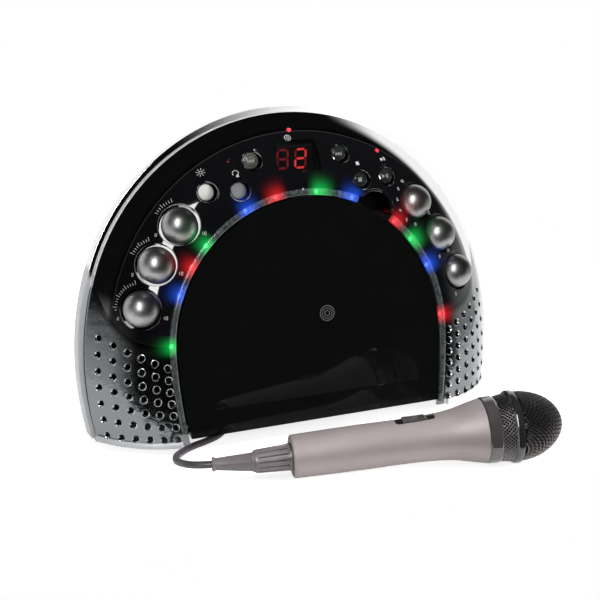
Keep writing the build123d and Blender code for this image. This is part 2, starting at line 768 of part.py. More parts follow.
# ================= door and its pins =================
PIN_OUT = arch(0)[3] + math.sqrt(INNER_SIDE_R ** 2 - (HINGE_W - arch(0)[4]) ** 2) - RING_OUT - 0.1
DOOR_EDGE = RING_IN + DOOR_GAP
PIN_IN = PIN_OUT - PIN_L
LUG_X = PIN_OUT + RING_OUT + 0.1 - DOOR_EDGE - 0.6
with BuildPart() as hinge_pins:
    for side in (-1, 1):
        start = side * (PIN_IN + PIN_OUT) / 2
        with BuildSketch(across(start, HINGE_W, HINGE_N)):
            Circle(PIN_R)
        extrude(amount=(PIN_OUT - PIN_IN) / 2, both=True)
save(hinge_pins.part, "hinge_pins")

with BuildPart() as disc_door:
    # smoked plate, and the thicker band along its foot
    with BuildSketch(level(DOOR_N - DOOR_T)):
        add(arch_shape(0, DOOR_EDGE, foot=DOOR_FOOT + 1))
    extrude(amount=DOOR_T)
    with BuildSketch(across(-INNER_R, 0, 0)):
        # this plane's y runs down the lean
        with BuildLine():
            Polyline((DOOR_N - DOOR_T, -BAND_TOP), (DOOR_N, -BAND_TOP), (DOOR_N + BAND_FLARE, -DOOR_FOOT),
                     (DOOR_N + BAND_FLARE - DOOR_T - 0.6, -DOOR_FOOT), (DOOR_N - DOOR_T, -HINGE_W), close=True)
        make_face()
    extrude(amount=INNER_R * 2)
    with BuildSketch(level(0)):
        add(arch_shape(0, DOOR_EDGE, foot=DOOR_FOOT))
    extrude(amount=DOME_RISE + 20, mode=Mode.INTERSECT)
    for side in (-1, 1):
        with BuildSketch(across(side * (LUG_X - LUG_W / 2), HINGE_W, HINGE_N)):
            Circle(LUG_R)
        extrude(amount=LUG_W / 2, both=True)
    with BuildSketch(across(-INNER_R, HINGE_W, HINGE_N)):
        Circle(PIN_R + PIN_FIT)
    extrude(amount=INNER_R - PIN_IN + 0.5, mode=Mode.SUBTRACT)
    with BuildSketch(across(PIN_IN - 0.5, HINGE_W, HINGE_N)):
        Circle(PIN_R + PIN_FIT)
    extrude(amount=INNER_R - PIN_IN, mode=Mode.SUBTRACT)
save(disc_door.part, "disc_door")

with BuildPart() as door_catch:
    # push latch in the top of the well, just behind the door
    with BuildSketch(level(WELL_STEP, 0, INNER_W + INNER_R - RING_IN - 0.4)):
        Rectangle(14, 5, align=(Align.CENTER, Align.MAX))
    extrude(amount=DOOR_N - DOOR_T - 0.3 - WELL_STEP)
save(door_catch.part, "door_catch")

# ================= disc, turntable, spindle =================
with BuildPart() as disc:
    with BuildSketch(level(DISC_N, 0, DISC_W)):
        Circle(DISC_R)
        Circle(DISC_HOLE_R, mode=Mode.SUBTRACT)
    extrude(amount=DISC_T)
save(disc.part, "disc")

with BuildPart() as turntable:
    with BuildSketch(level(DISC_N - TABLE_T, 0, DISC_W)):
        Circle(TABLE_R)
    extrude(amount=TABLE_T)
    with BuildSketch(level(DISC_N, 0, DISC_W)):
        Circle(HUB_R)
    extrude(amount=HUB_H)
    chamfer(turntable.edges().group_by(Axis(on_face(0, DISC_W, 0), OUT))[-1], 1.2)
    with BuildSketch(level(MOTOR_TOP + 0.6, 0, DISC_W)):
        Circle(3.5)
    extrude(amount=DISC_N - TABLE_T - MOTOR_TOP - 0.6)
    with BuildSketch(level(MOTOR_TOP, 0, DISC_W)):
        Circle(SPINDLE_R + 0.02)
    extrude(amount=DISC_N - MOTOR_TOP + 1, mode=Mode.SUBTRACT)
save(turntable.part, "turntable")

with BuildPart() as spindle_shaft:
    with BuildSketch(level(DECK_T + 1.5, 0, DISC_W)):
        Circle(SPINDLE_R)
    extrude(amount=DISC_N + 0.9 - DECK_T - 1.5)
save(spindle_shaft.part, "spindle_shaft")

with BuildPart() as spindle_motor:
    with BuildSketch(level(DECK_T, 0, DISC_W)):
        Circle(MOTOR_R)
    extrude(amount=MOTOR_TOP - 1.4 - DECK_T)
    with BuildSketch(level(MOTOR_TOP - 1.4, 0, DISC_W)):
        Circle(3.2)
    extrude(amount=1.4)
    with Locations(level(MOTOR_TOP, 0, DISC_W).location):
        Hole(SPINDLE_R + BEARING_FIT, MOTOR_TOP - DECK_T - 1)
save(spindle_motor.part, "spindle_motor")

# ================= deck, sled and its drive =================
SCREW_AXIS_W = DECK_W + SCREW_W
RAIL_ENDS = (SLED_START - 5.0, SLED_START + SLED_L + SLED_TRAVEL + 2.0)
SCREW_ENDS = (SLED_START - 4.0, SLED_START + SLED_L + SLED_TRAVEL - 5.0)
POST_W = 4.0
with BuildPart() as deck_frame:
    with BuildSketch(level(0, DECK_X, DECK_W)):
        RectangleRounded(DECK_L, DECK_H, 5)
        with Locations(*[(i * DECK_SCREW_X, j * DECK_SCREW_W) for i in (-1, 1) for j in (-1, 1)]):
            Circle(DECK_SCREW_R + 0.2, mode=Mode.SUBTRACT)
        with Locations((LENS_X + SLED_TRAVEL / 2 - DECK_X, 0)):
            RectangleRounded(SLED_TRAVEL + 10, 20, 3, mode=Mode.SUBTRACT)
    extrude(amount=DECK_T)
    # posts that hold the ends of the rails and of the lead screw
    with BuildSketch(level(DECK_T)):
        for end in RAIL_ENDS:
            with Locations(*[(end, DECK_W + side * RAIL_GAP) for side in (-1, 1)]):
                Rectangle(POST_W, 6)
    extrude(amount=RAIL_N + 2.5 - DECK_T)
    with BuildSketch(level(DECK_T)):
        with Locations(*[(end, SCREW_AXIS_W) for end in SCREW_ENDS]):
            Rectangle(2.4, 5)
    extrude(amount=SCREW_N + 2.4 - DECK_T)
    with BuildSketch(across(RAIL_ENDS[0] - POST_W, DECK_W + RAIL_GAP, RAIL_N)):
        Circle(RAIL_R + BEARING_FIT)
        with Locations((0, 2 * RAIL_GAP)):
            Circle(RAIL_R + BEARING_FIT)
    extrude(amount=RAIL_ENDS[1] - RAIL_ENDS[0] + 2 * POST_W, mode=Mode.SUBTRACT)
    with BuildSketch(across(SCREW_ENDS[0] - 2, SCREW_AXIS_W, SCREW_N)):
        Circle(SCREW_R + BEARING_FIT)
    extrude(amount=SCREW_ENDS[1] - SCREW_ENDS[0] + 4, mode=Mode.SUBTRACT)
save(deck_frame.part, "deck_frame")

with BuildPart() as sled_rails:
    with BuildSketch(across(RAIL_ENDS[0] - POST_W / 2, DECK_W, RAIL_N)):
        with Locations((0, RAIL_GAP), (0, -RAIL_GAP)):
            Circle(RAIL_R)
    extrude(amount=RAIL_ENDS[1] - RAIL_ENDS[0] + POST_W)
save(sled_rails.part, "sled_rails")

with BuildPart() as laser_sled:
    with BuildSketch(level(SLED_BOTTOM, SLED_START + SLED_L / 2, DECK_W)):
        Rectangle(SLED_L, 2 * SLED_HALF_W)
    extrude(amount=SLED_TOP - SLED_BOTTOM)
    with BuildSketch(level(SLED_TOP, LENS_X, DECK_W)):
        Circle(LENS_HOLDER_R)
    extrude(amount=LENS_TOP - 1.2 - SLED_TOP)
    # arm whose half nut rides under the lead screw
    with BuildSketch(level(SLED_BOTTOM, SLED_START + SLED_L / 2, SCREW_AXIS_W - 2)):
        Rectangle(8, DECK_W - SLED_HALF_W - SCREW_AXIS_W + 3, align=(Align.CENTER, Align.MIN))
    extrude(amount=SCREW_N - SCREW_R - 0.2 - SLED_BOTTOM)
    with BuildSketch(across(SLED_START - 1, DECK_W, RAIL_N)):
        with Locations((0, RAIL_GAP), (0, -RAIL_GAP)):
            Circle(RAIL_R + BEARING_FIT)
    extrude(amount=SLED_L + 2, mode=Mode.SUBTRACT)
save(laser_sled.part, "laser_sled")

with BuildPart() as pickup_lens:
    with BuildSketch(level(LENS_TOP - 1.2, LENS_X, DECK_W)):
        Circle(2.5)
    extrude(amount=1.2)
    fillet(pickup_lens.edges().group_by(Axis(on_face(0, DECK_W, 0), OUT))[-1], 1.0)
save(pickup_lens.part, "pickup_lens")

with BuildPart() as sled_screw:
    with BuildSketch(across(SCREW_ENDS[0] - 6, SCREW_AXIS_W, SCREW_N)):
        Circle(SCREW_R)
    extrude(amount=SCREW_ENDS[1] - SCREW_ENDS[0] + 8)
save(sled_screw.part, "sled_screw")

with BuildPart() as sled_motor:
    with BuildSketch(across(SCREW_ENDS[0] - 18, SCREW_AXIS_W, SCREW_N)):
        Circle(SLED_MOTOR_R)
    extrude(amount=15)
    with Locations(across(SCREW_ENDS[0] - 3, SCREW_AXIS_W, SCREW_N).location):
        Hole(SCREW_R + BEARING_FIT, 8)
save(sled_motor.part, "sled_motor")

with BuildPart() as deck_dampers:
    with BuildSketch(level(DECK_T)):
        with Locations(*DECK_SCREWS):
            Circle(4.5)
            Circle(DECK_SCREW_R + 0.2, mode=Mode.SUBTRACT)
    extrude(amount=DAMPER_TOP - DECK_T)
save(deck_dampers.part, "deck_dampers")

with BuildPart() as deck_screws:
    with BuildSketch(level(-1.8)):
        with Locations(*DECK_SCREWS):
            Circle(3)
    extrude(amount=1.8)
    with BuildSketch(level(0)):
        with Locations(*DECK_SCREWS):
            Circle(DECK_SCREW_R)
    extrude(amount=WELL_N - 2)
save(deck_screws.part, "deck_screws")

# ================= rear housing =================
REAR_TURN_RAD = math.radians(REAR_TURN)
REAR_CENTRE = OUTER_W + REAR_RISE
REAR_R = OUTER_R - REAR_SHRINK
REAR_ARCH = (REAR_CENTRE, REAR_R, REAR_TURN_RAD, (REAR_R - REAR_SIDE_R) * math.cos(REAR_TURN_RAD),
             REAR_CENTRE + (REAR_R - REAR_SIDE_R) * math.sin(REAR_TURN_RAD), REAR_SIDE_R)


def housing_form(inset):
    """The taper from the rim's outline back to the smaller rear arch, drawn in by inset."""
    rear = Plane(origin=(0, REAR_Y - inset, 0), x_dir=(1, 0, 0), z_dir=(0, -1, 0))
    with BuildPart(mode=Mode.PRIVATE) as body:
        with BuildSketch(level(-SKIRT)):
            add(arch_shape(1, inset, foot=ARCH_FOOT))
        with BuildSketch(rear):
            add(arch_sketch(*REAR_ARCH, inset, ARCH_FOOT))
        loft()
    return body.part


CHIN_HALF = arch(0)[3] + INNER_SIDE_R - WALL_IN - 4.6
BAY_MID = (BAY_X[0] + BAY_X[1]) / 2
BAY_MID_Z = (BAY_Z[0] + BAY_Z[1]) / 2
BAY_BACK_Y = REAR_Y - BAY_DEPTH
BOSS_R = HEAD_R + 0.4 + BOSS_WALL
MAIN_POSTS = [(MAIN_BOARD_AT[0] + i * (MAIN_BOARD[0] / 2 - 6), MAIN_BOARD_AT[1] + j * (MAIN_BOARD[1] / 2 - 5))
              for i in (-1, 1) for j in (-1, 1)]

with BuildPart() as rear_hollow:
    add(housing_form(SHELL))
    split(bisect_by=Plane.XY.offset(BASE_Z + BASE_T), keep=Keep.TOP)
    # tubes for the long screws
    with BuildSketch(level(-SKIRT)):
        with Locations(*SCREW_POSTS):
            Circle(BOSS_R)
    extrude(amount=-REAR_Y, mode=Mode.SUBTRACT)
    # walls of the socket bay, and posts under the main board
    with Locations((BAY_MID, REAR_Y, BAY_MID_Z)):
        Box(BAY_X[1] - BAY_X[0] + 2 * SHELL, BAY_DEPTH + SHELL, BAY_Z[1] - BAY_Z[0] + 2 * SHELL,
            align=(Align.CENTER, Align.MAX, Align.CENTER), mode=Mode.SUBTRACT)
    with BuildSketch(Plane.XY.offset(BASE_Z)):
        with Locations(*MAIN_POSTS):
            Circle(3)
    extrude(amount=MAIN_BOARD_Z - BASE_Z, mode=Mode.SUBTRACT)

with BuildPart() as rear_housing:
    add(housing_form(0))
    split(bisect_by=Plane.XY.offset(BASE_Z), keep=Keep.TOP)
    add(rear_hollow.part, mode=Mode.SUBTRACT)
    # the tongue that fits inside the fascia's skirt
    with BuildSketch(level(-SKIRT - TONGUE)):
        add(arch_shape(1, SHELL + SLIP))
        add(arch_shape(1, SHELL + SLIP + TONGUE_T), mode=Mode.SUBTRACT)
        with Locations((0, -10)):
            Rectangle(2 * OUTER_R + 10, 35, mode=Mode.SUBTRACT)
    extrude(amount=2 * TONGUE)
    # floor that runs forward under the disc well
    with Locations((0, CHIN_Y, BASE_Z)):
        Box(2 * CHIN_HALF, FACE_Y + SKIRT + 6 - CHIN_Y, BASE_T, align=(Align.CENTER, Align.MIN, Align.MIN))
    # screw holes, open from behind
    with BuildSketch(level(SCREW_SEAT_N)):
        with Locations(*SCREW_POSTS):
            Circle(HEAD_R + 0.4)
    extrude(amount=-REAR_Y, mode=Mode.SUBTRACT)
    with BuildSketch(level(-SKIRT + 1)):
        with Locations(*SCREW_POSTS):
            Circle(1.6)
    extrude(amount=SCREW_SEAT_N + SKIRT - 2, mode=Mode.SUBTRACT)
    # socket bay and the holes in its back
    with Locations((BAY_MID, REAR_Y + 1, BAY_MID_Z)):
        Box(BAY_X[1] - BAY_X[0], BAY_DEPTH + 1, BAY_Z[1] - BAY_Z[0],
            align=(Align.CENTER, Align.MAX, Align.CENTER), mode=Mode.SUBTRACT)
    with BuildSketch(Plane.XZ.offset(-REAR_Y)):
        with Locations(*[(x, JACK_Z) for x in MIC_JACK_X]):
            Circle(MIC_COLLAR_R + SLIP)
        with Locations(*[(x, JACK_Z) for x in AV_JACK_X]):
            Circle(AV_R + SLIP)
        with Locations((POWER_X, JACK_Z)):
            Circle(POWER_R + 1.6 + SLIP)
    extrude(amount=BAY_DEPTH + SHELL + 2, mode=Mode.SUBTRACT)
save(rear_housing.part, "rear_housing")

with BuildPart() as housing_screws:
    with BuildSketch(level(SCREW_SEAT_N)):
        with Locations(*SCREW_POSTS):
            Circle(HEAD_R)
    extrude(amount=-2.2)
    with BuildSketch(level(SCREW_SEAT_N)):
        with Locations(*SCREW_POSTS):
            Circle(1.2)
    extrude(amount=-SCREW_SEAT_N - 1)
save(housing_screws.part, "housing_screws")

with BuildPart() as feet:
    with BuildSketch():
        with Locations(*[(side * FEET_X, y) for side in (-1, 1) for y in FEET_Y]):
            Circle(FOOT_R)
    extrude(amount=BASE_Z)
    fillet(feet.edges().group_by(Axis.Z)[0], 1.2)
save(feet.part, "feet")

# ================= main board and sockets =================
with BuildPart() as main_board:
    with BuildSketch(Plane.XY.offset(MAIN_BOARD_Z)):
        with Locations(MAIN_BOARD_AT):
            Rectangle(*MAIN_BOARD)
    extrude(amount=BOARD_T)
save(main_board.part, "main_board")

SOCKET_FOOT = MAIN_BOARD_Z + BOARD_T
SOCKET_FACE = BAY_BACK_Y - SHELL - SLIP


def socket_block(x, width, depth, height):
    """The body of one socket, standing on the main board behind the bay's wall."""
    with BuildPart(mode=Mode.PRIVATE) as block:
        with Locations((x, SOCKET_FACE, SOCKET_FOOT)):
            Box(width, depth, height, align=(Align.CENTER, Align.MAX, Align.MIN))
    return block.part


with BuildPart() as mic_jacks:
    for x in MIC_JACK_X:
        add(socket_block(x, 16, 28, 16.4))
        with BuildSketch(Plane.XZ.offset(-SOCKET_FACE)):
            with Locations((x, JACK_Z)):
                Circle(MIC_COLLAR_R)
        extrude(amount=-(SHELL + SLIP + 2.5))
        with BuildSketch(Plane.XZ.offset(-REAR_Y)):
            with Locations((x, JACK_Z)):
                Circle(MIC_JACK_R)
        extrude(amount=36, mode=Mode.SUBTRACT)
save(mic_jacks.part, "mic_jacks")

with BuildPart() as av_jacks:
    for x in AV_JACK_X:
        add(socket_block(x, 11, 14, 15))
        with BuildSketch(Plane.XZ.offset(-SOCKET_FACE)):
            with Locations((x, JACK_Z)):
                Circle(AV_R)
        extrude(amount=-(SHELL + SLIP + 9))
        with BuildSketch(Plane.XZ.offset(-REAR_Y)):
            with Locations((x, JACK_Z)):
                Circle(1.6)
        extrude(amount=20, mode=Mode.SUBTRACT)
save(av_jacks.part, "av_jacks")

with BuildPart() as power_jack:
    add(socket_block(POWER_X, 9.4, 14, 13))
    with BuildSketch(Plane.XZ.offset(-SOCKET_FACE)):
        with Locations((POWER_X, JACK_Z)):
            Circle(POWER_R + 1.6)
    extrude(amount=-(SHELL + SLIP))
    with BuildSketch(Plane.XZ.offset(-REAR_Y)):
        with Locations((POWER_X, JACK_Z)):
            Circle(POWER_R)
            Circle(1.0, mode=Mode.SUBTRACT)
    extrude(amount=22, mode=Mode.SUBTRACT)
save(power_jack.part, "power_jack")

# ================= microphone =================
HEADING = math.radians(MIC_HEADING)
RISE = math.radians(MIC_RISE)
MIC_AXIS = Vector(math.cos(HEADING) * math.cos(RISE), math.sin(HEADING) * math.cos(RISE), math.sin(RISE))
MIC_SIDE = Vector(math.sin(HEADING), -math.cos(HEADING), 0)
MIC_SECTION = Plane(origin=MIC_TAIL, x_dir=MIC_AXIS, z_dir=MIC_SIDE)
MIC_TOP = MIC_SECTION.y_dir
TURN_MIC = Axis(MIC_TAIL, MIC_AXIS)
COLLAR_T = (120.4, 128.5)
RING_HALF = 2.5
DOME_T = MIC_RING_T + RING_HALF
SWITCH_AT = 78.0
SWITCH_SLOT = (25.0, 8.0)
SWITCH_FLOOR = 13.2
SWITCH_TRAVEL = 4.0


def mic_point(t):
    return Vector(*MIC_TAIL) + MIC_AXIS * t


with BuildPart() as mic_handle:
    with BuildSketch(MIC_SECTION):
        with BuildLine():
            Line((0, 8.7), (0, 12.2))
            ThreePointArc((0, 12.2), (0.5, 13.0), (1.6, 13.4))
            Spline((1.6, 13.4), (45, 14.0), (92, 14.8), (104, 16.4), (112, 18.4), (120.3, 20.2),
                   tangents=((1, 0.013), (1, 0.2)))
            Line((120.3, 20.2), (120.3, 18.2))
            Spline((120.3, 18.2), (112, 16.4), (104, 14.4), (92, 12.8), (45, 12.0), (3.5, 11.4),
                   tangents=((-1, -0.2), (-1, -0.013)))
            Polyline((3.5, 11.4), (3.5, 8.7), (0, 8.7))
        make_face()
    revolve(axis=TURN_MIC)
    # sunk slot of the switch, with its window
    with BuildSketch(Plane(origin=mic_point(SWITCH_AT) + MIC_TOP * SWITCH_FLOOR, x_dir=MIC_AXIS, z_dir=MIC_TOP)):
        RectangleRounded(*SWITCH_SLOT, 2)
    extrude(amount=6, mode=Mode.SUBTRACT)
    with BuildSketch(Plane(origin=mic_point(SWITCH_AT) + MIC_TOP * 8, x_dir=MIC_AXIS, z_dir=MIC_TOP)):
        Rectangle(9, 3.2)
    extrude(amount=6, mode=Mode.SUBTRACT)
save(mic_handle.part, "mic_handle")

with BuildPart() as mic_switch:
    switch_start = mic_point(SWITCH_AT - SWITCH_TRAVEL / 2)
    with BuildSketch(Plane(origin=switch_start + MIC_TOP * (SWITCH_FLOOR + 0.1), x_dir=MIC_AXIS, z_dir=MIC_TOP)):
        RectangleRounded(11, 6.4, 1.4)
    extrude(amount=1.6)
    with BuildSketch(Plane(origin=switch_start + MIC_TOP * 10.6, x_dir=MIC_AXIS, z_dir=MIC_TOP)):
        Rectangle(4, 2.8)
    extrude(amount=3)
save(mic_switch.part, "mic_switch")

with BuildPart() as mic_collar:
    with BuildSketch(MIC_SECTION):
        with BuildLine():
            Polyline((COLLAR_T[0], 18.3), (COLLAR_T[0], 20.2), (COLLAR_T[0] + 1, 20.7), (COLLAR_T[1] - 1, 20.9),
                     (COLLAR_T[1], 20.4), (COLLAR_T[1], 18.3), close=True)
        make_face()
    revolve(axis=TURN_MIC)
save(mic_collar.part, "mic_collar")

with BuildPart() as mic_grille:
    reach = MIC_LENGTH - DOME_T
    with BuildSketch(MIC_SECTION):
        with BuildLine():
            Line((128.6, 19.4), (128.6, 20.5))
            Line((128.6, 20.5), (DOME_T, 22.2))
            EllipticalCenterArc((DOME_T, 0), reach, 22.2, start_angle=0, arc_size=90)
            Line((MIC_LENGTH, 0), (MIC_LENGTH - 1.1, 0))
            EllipticalCenterArc((DOME_T, 0), reach - 1.1, 21.1, start_angle=0, arc_size=90)
            Line((DOME_T, 21.1), (128.6, 19.4))
        make_face()
    revolve(axis=TURN_MIC)
save(mic_grille.part, "mic_grille")

with BuildPart() as mic_ring:
    with BuildSketch(MIC_SECTION):
        with BuildLine():
            Polyline((MIC_RING_T - RING_HALF, 22.35), (MIC_RING_T - RING_HALF + 0.5, MIC_RING_R),
                     (MIC_RING_T + RING_HALF - 0.5, MIC_RING_R), (MIC_RING_T + RING_HALF, 22.35), close=True)
        make_face()
    revolve(axis=TURN_MIC)
save(mic_ring.part, "mic_ring")

with BuildPart() as mic_capsule:
    with BuildSketch(MIC_SECTION):
        with BuildLine():
            Polyline((122, 0), (122, 18.1), (126, 18.1), (126, 12), (148, 12), (150, 10), (150, 0), close=True)
        make_face()
    revolve(axis=TURN_MIC)
save(mic_capsule.part, "mic_capsule")

# ================= strain relief and cord =================
BEND = math.radians(MIC_HEADING + 180 - BOOT_BEND)
CONE_DIR = Vector(math.cos(BEND) * math.cos(RISE), math.sin(BEND) * math.cos(RISE), -math.sin(RISE))
CONE_START = mic_point(-BOOT_SLEEVE)
CONE_SECTION = Plane(origin=CONE_START, x_dir=CONE_DIR, z_dir=Vector(-math.sin(BEND), math.cos(BEND), 0))
BOOT_TIP = CONE_START + CONE_DIR * BOOT_CONE
with BuildPart() as mic_boot:
    with BuildSketch(MIC_SECTION):
        with BuildLine():
            Polyline((3.3, 0), (3.3, 8.5), (-1.5, 8.5), (-1.5, 8.3), (-BOOT_SLEEVE + 1, 7.1),
                     (-BOOT_SLEEVE, 6.4), (-BOOT_SLEEVE, 0), close=True)
        make_face()
    revolve(axis=TURN_MIC)
    with BuildSketch(Plane(origin=mic_point(-2.5), x_dir=MIC_TOP, z_dir=-MIC_AXIS)):
        with PolarLocations(8.5, 12):
            Circle(0.8)
    extrude(amount=BOOT_SLEEVE - 5, mode=Mode.SUBTRACT)
    with Locations(CONE_START):
        Sphere(5.9)
    with BuildSketch(CONE_SECTION):
        with BuildLine():
            Polyline((0, 0), (0, 5.8), (BOOT_CONE - 2, 3.8), (BOOT_CONE - 1.4, 4.4), (BOOT_CONE, 4.4),
                     (BOOT_CONE, 0), close=True)
        make_face()
    revolve(axis=Axis(CONE_START, CONE_DIR))
save(mic_boot.part, "mic_boot")

CORD_Z = CORD_R + 0.05
CORD_START = BOOT_TIP + CONE_DIR * 9
CORD_ROUTE = [
    (-104.0, -34.6, 8.0),
    (-106.2, -24.6, 6.0),
    (-103.8, -14.2, 4.2),
    (-97.0, -4.6, 2.5),
    (-87.4, 2.0, 2.4),
    (-76.4, 6.2, CORD_Z),
    (-66.2, 11.6, CORD_Z),
    (-58.2, 20.4, CORD_Z),
    (-53.6, 32.4, CORD_Z),
    (-52.0, 48.0, CORD_Z),
    (-51.9, 68.0, CORD_Z),
    (-51.2, 90.0, CORD_Z),
    (-49.7, 112.0, CORD_Z),
    (-47.3, 132.4, CORD_Z),
]
TAIL_ROUTE = [
    (-0.8, 127.7, CORD_Z),
    (10.0, 124.5, 2.6),
    (21.5, 124.0, 4.4),
    (32.5, 126.3, PLUG_R + 0.05),
    (43.0, 131.0, PLUG_R + 0.05),
]


def cord_radii(route):
    """The largest arc that fits each corner: 0.45 of the shorter run over tan(half turn)."""
    radii = []
    for before, here, after in zip(route, route[1:], route[2:]):
        first = Vector(*here) - Vector(*before)
        second = Vector(*after) - Vector(*here)
        half_turn = math.radians(first.get_angle(second)) / 2
        radii.append(0.45 * min(first.length, second.length) / math.tan(half_turn))
    return radii


def cord_tube(route, name):
    """A round tube along straight runs joined by tangent arcs."""
    radii = cord_radii(route)
    with BuildPart(mode=Mode.PRIVATE) as tube:
        with BuildLine() as path:
            FilletPolyline(*route, radius=radii)
        line = path.wires()[0]
        with BuildSketch(Plane(origin=line @ 0, z_dir=line % 0)):
            Circle(CORD_R)
        sweep(path=line)
    print(name, "radii", [round(radius, 1) for radius in radii], "length", round(line.length, 1),
          "volume over section x length", round(tube.part.volume / (math.pi * CORD_R ** 2 * line.length), 4))
    return tube.part


cord_points = [tuple(BOOT_TIP), tuple(CORD_START)] + CORD_ROUTE
save(cord_tube(cord_points, "mic_cord"), "mic_cord")
save(cord_tube(TAIL_ROUTE, "cord_tail"), "cord_tail")

with BuildPart() as cord_coil:
    with BuildSketch(Plane(origin=(*COIL_AT, 0.05), x_dir=(1, 0, 0), z_dir=(0, -1, 0))):
        with Locations((COIL_R, COIL_HEIGHT / 2)):
            RectangleRounded(COIL_WIDTH, COIL_HEIGHT, 5)
    revolve(axis=Axis((*COIL_AT, 0), (0, 0, 1)))
save(cord_coil.part, "cord_coil")

PLUG_DIR = (Vector(*TAIL_ROUTE[-1]) - Vector(*TAIL_ROUTE[-2])).normalized()
PLUG_LEVEL = Vector(PLUG_DIR.X, PLUG_DIR.Y, 0).normalized()
with BuildPart() as cord_plug:
    with BuildSketch(Plane(origin=TAIL_ROUTE[-1], x_dir=PLUG_LEVEL, z_dir=PLUG_LEVEL.cross(Vector(0, 0, 1)))):
        with BuildLine():
            Polyline((0, 0), (0, 3.4), (9, 4.4), (10, PLUG_R), (33, PLUG_R), (33, 3.15), (56, 3.15),
                     (57.5, 2.4), (59, 3.1), (63, 0.8), (63, 0), close=True)
        make_face()
    revolve(axis=Axis(TAIL_ROUTE[-1], PLUG_LEVEL))
save(cord_plug.part, "cord_plug")
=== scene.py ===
"""Looks for a karaoke machine with a disc tray and a corded microphone, laid out as an add-on."""

import math

import bmesh
import bpy
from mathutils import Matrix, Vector
from mathutils.bvhtree import BVHTree
from mathutils.geometry import delaunay_2d_cdt


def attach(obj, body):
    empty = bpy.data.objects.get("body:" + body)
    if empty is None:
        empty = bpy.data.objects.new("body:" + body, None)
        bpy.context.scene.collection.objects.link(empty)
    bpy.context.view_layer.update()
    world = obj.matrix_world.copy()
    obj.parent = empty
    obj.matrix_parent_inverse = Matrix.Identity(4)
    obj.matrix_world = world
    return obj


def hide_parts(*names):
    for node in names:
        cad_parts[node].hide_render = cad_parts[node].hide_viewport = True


bl_info = {
    "name": "Karaoke Machine Builder",
    "version": (1, 0, 0),
    "blender": (4, 5, 0),
    "location": "View3D > Sidebar > Karaoke",
    "description": "Dresses a karaoke machine with a disc tray and a corded microphone",
    "category": "Add Mesh",
}

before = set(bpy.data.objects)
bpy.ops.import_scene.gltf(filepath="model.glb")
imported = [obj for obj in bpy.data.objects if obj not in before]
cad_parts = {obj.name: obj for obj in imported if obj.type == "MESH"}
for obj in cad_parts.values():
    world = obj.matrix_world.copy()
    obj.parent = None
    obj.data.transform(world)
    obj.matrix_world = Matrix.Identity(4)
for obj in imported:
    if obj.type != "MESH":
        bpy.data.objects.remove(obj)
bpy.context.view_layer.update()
MM = 0.001

# ================= the face's own frame, in millimetres =================
LEAN = math.radians(9.65)
COS, SIN = math.cos(LEAN), math.sin(LEAN)
OUT = Vector((0, -COS, SIN))
UP = Vector((0, SIN, COS))
ACROSS = Vector((1, 0, 0))
FACE_ORIGIN = Vector((0, 35, 5))

INNER_W, INNER_R, INNER_SIDE_R = 51.5, 94.5, 350.0
OUTER_W, OUTER_R, OUTER_SIDE_R, OUTER_TURN = 57.0, 146.5, 190.0, 20.0
DOME_RISE = 36.5
RIM_SHARE = 0.925
FLANGE_N = 1.5
SKIRT = 9.0
EDGE_ROUND, BRIM_ROUND = 1.2, 0.7
OPENING_INSET = -4.0
LIP_SHARE, LIP_HEIGHT, LIP_ROUND, LIP_TILT = 0.083, 2.8, 0.5, 0.4
FOOT_PLATE, WALL_RISE, WALL_FRONT, WALL_BACK = 5.0, 14.0, 2.0, 30.0
GRILLE_COLUMNS, GRILLE_ROWS, GRILLE_SHARES = 6, 7, (0.11, 0.1405)
GRILLE_FOOT, GRILLE_RISE, GRILLE_RISE_STEP = 10.0, 45.5, 3.3
NOTCH_R, NOTCH_ANGLE, NOTCH_N = 12.0, math.radians(58), 26.0
NOTCH_AT = (INNER_R * math.cos(NOTCH_ANGLE), INNER_W + INNER_R * math.sin(NOTCH_ANGLE))
RING_INSETS = (0.8, -3.8)
RING_LEVELS = (33.2, 36.8)
RING_MID_R, RING_ROUND = INNER_R + 1.5, 1.4
RING_LAMP_R, RING_LAMP_SIDE, RING_LAMP_DOME, RING_LAMP_SINK = 1.5, 2.0, 1.2, 3.2
DARK_REACH, DARK_GAP = 4.4, 3.6

KNOBS = {
    "auto_voice_knob": (-83.7, 134.1),
    "echo_knob": (-101.0, 110.7),
    "mic_volume_knob": (-113.0, 83.7),
    "volume_knob": (83.7, 134.1),
    "balance_knob": (101.0, 110.7),
    "music_tone_knob": (113.0, 83.7),
}
BUTTONS = {
    "light_button": (-63.2, 152.4),
    "repeat_button": (-42.7, 151.9),
    "previous_button": (-30.8, 169.7),
    "next_button": (30.8, 169.7),
    "stop_button": (42.7, 151.9),
    "play_button": (63.2, 152.4),
}
STATUS_LAMPS = {(0.0, 187.6): "lit", (62.0, 169.5): "lit", (-46.0, 170.5): "dark"}
RING_LAMPS = (
    (2.5, "red"), (24, "blue"), (37, "green"), (47.5, "red"), (68.5, "blue"), (84, "green"),
    (101, "red"), (114.5, "blue"), (135, "green"), (145, "red"), (156.5, "blue"), (176, "green"),
)
KNOB_RECESS_R, KNOB_LIP, KNOB_FLOOR, BUSHING_R = 13.3, 0.45, 4.5, 3.6
KNOB_R, KNOB_SINK = 11.7, 2.3
BUTTON_RECESS_R, BUTTON_R, BUTTON_SINK, BUTTON_LIP, BUTTON_FLOOR = 6.5, 5.25, 2.9, 0.5, 0.7
WINDOW_AT, WINDOW_SIZE, PANE_DEPTH, WINDOW_CORNER, WINDOW_WALL = (0.0, 170.8), (30.0, 20.0), (0.9, 1.9), 1.2, 2.4
DIGITS, DIGITS_N, DIGIT_LEAN = ((-8.6, 169.1, ""), (4.0, 168.8, "abged")), 24.3, 0.08
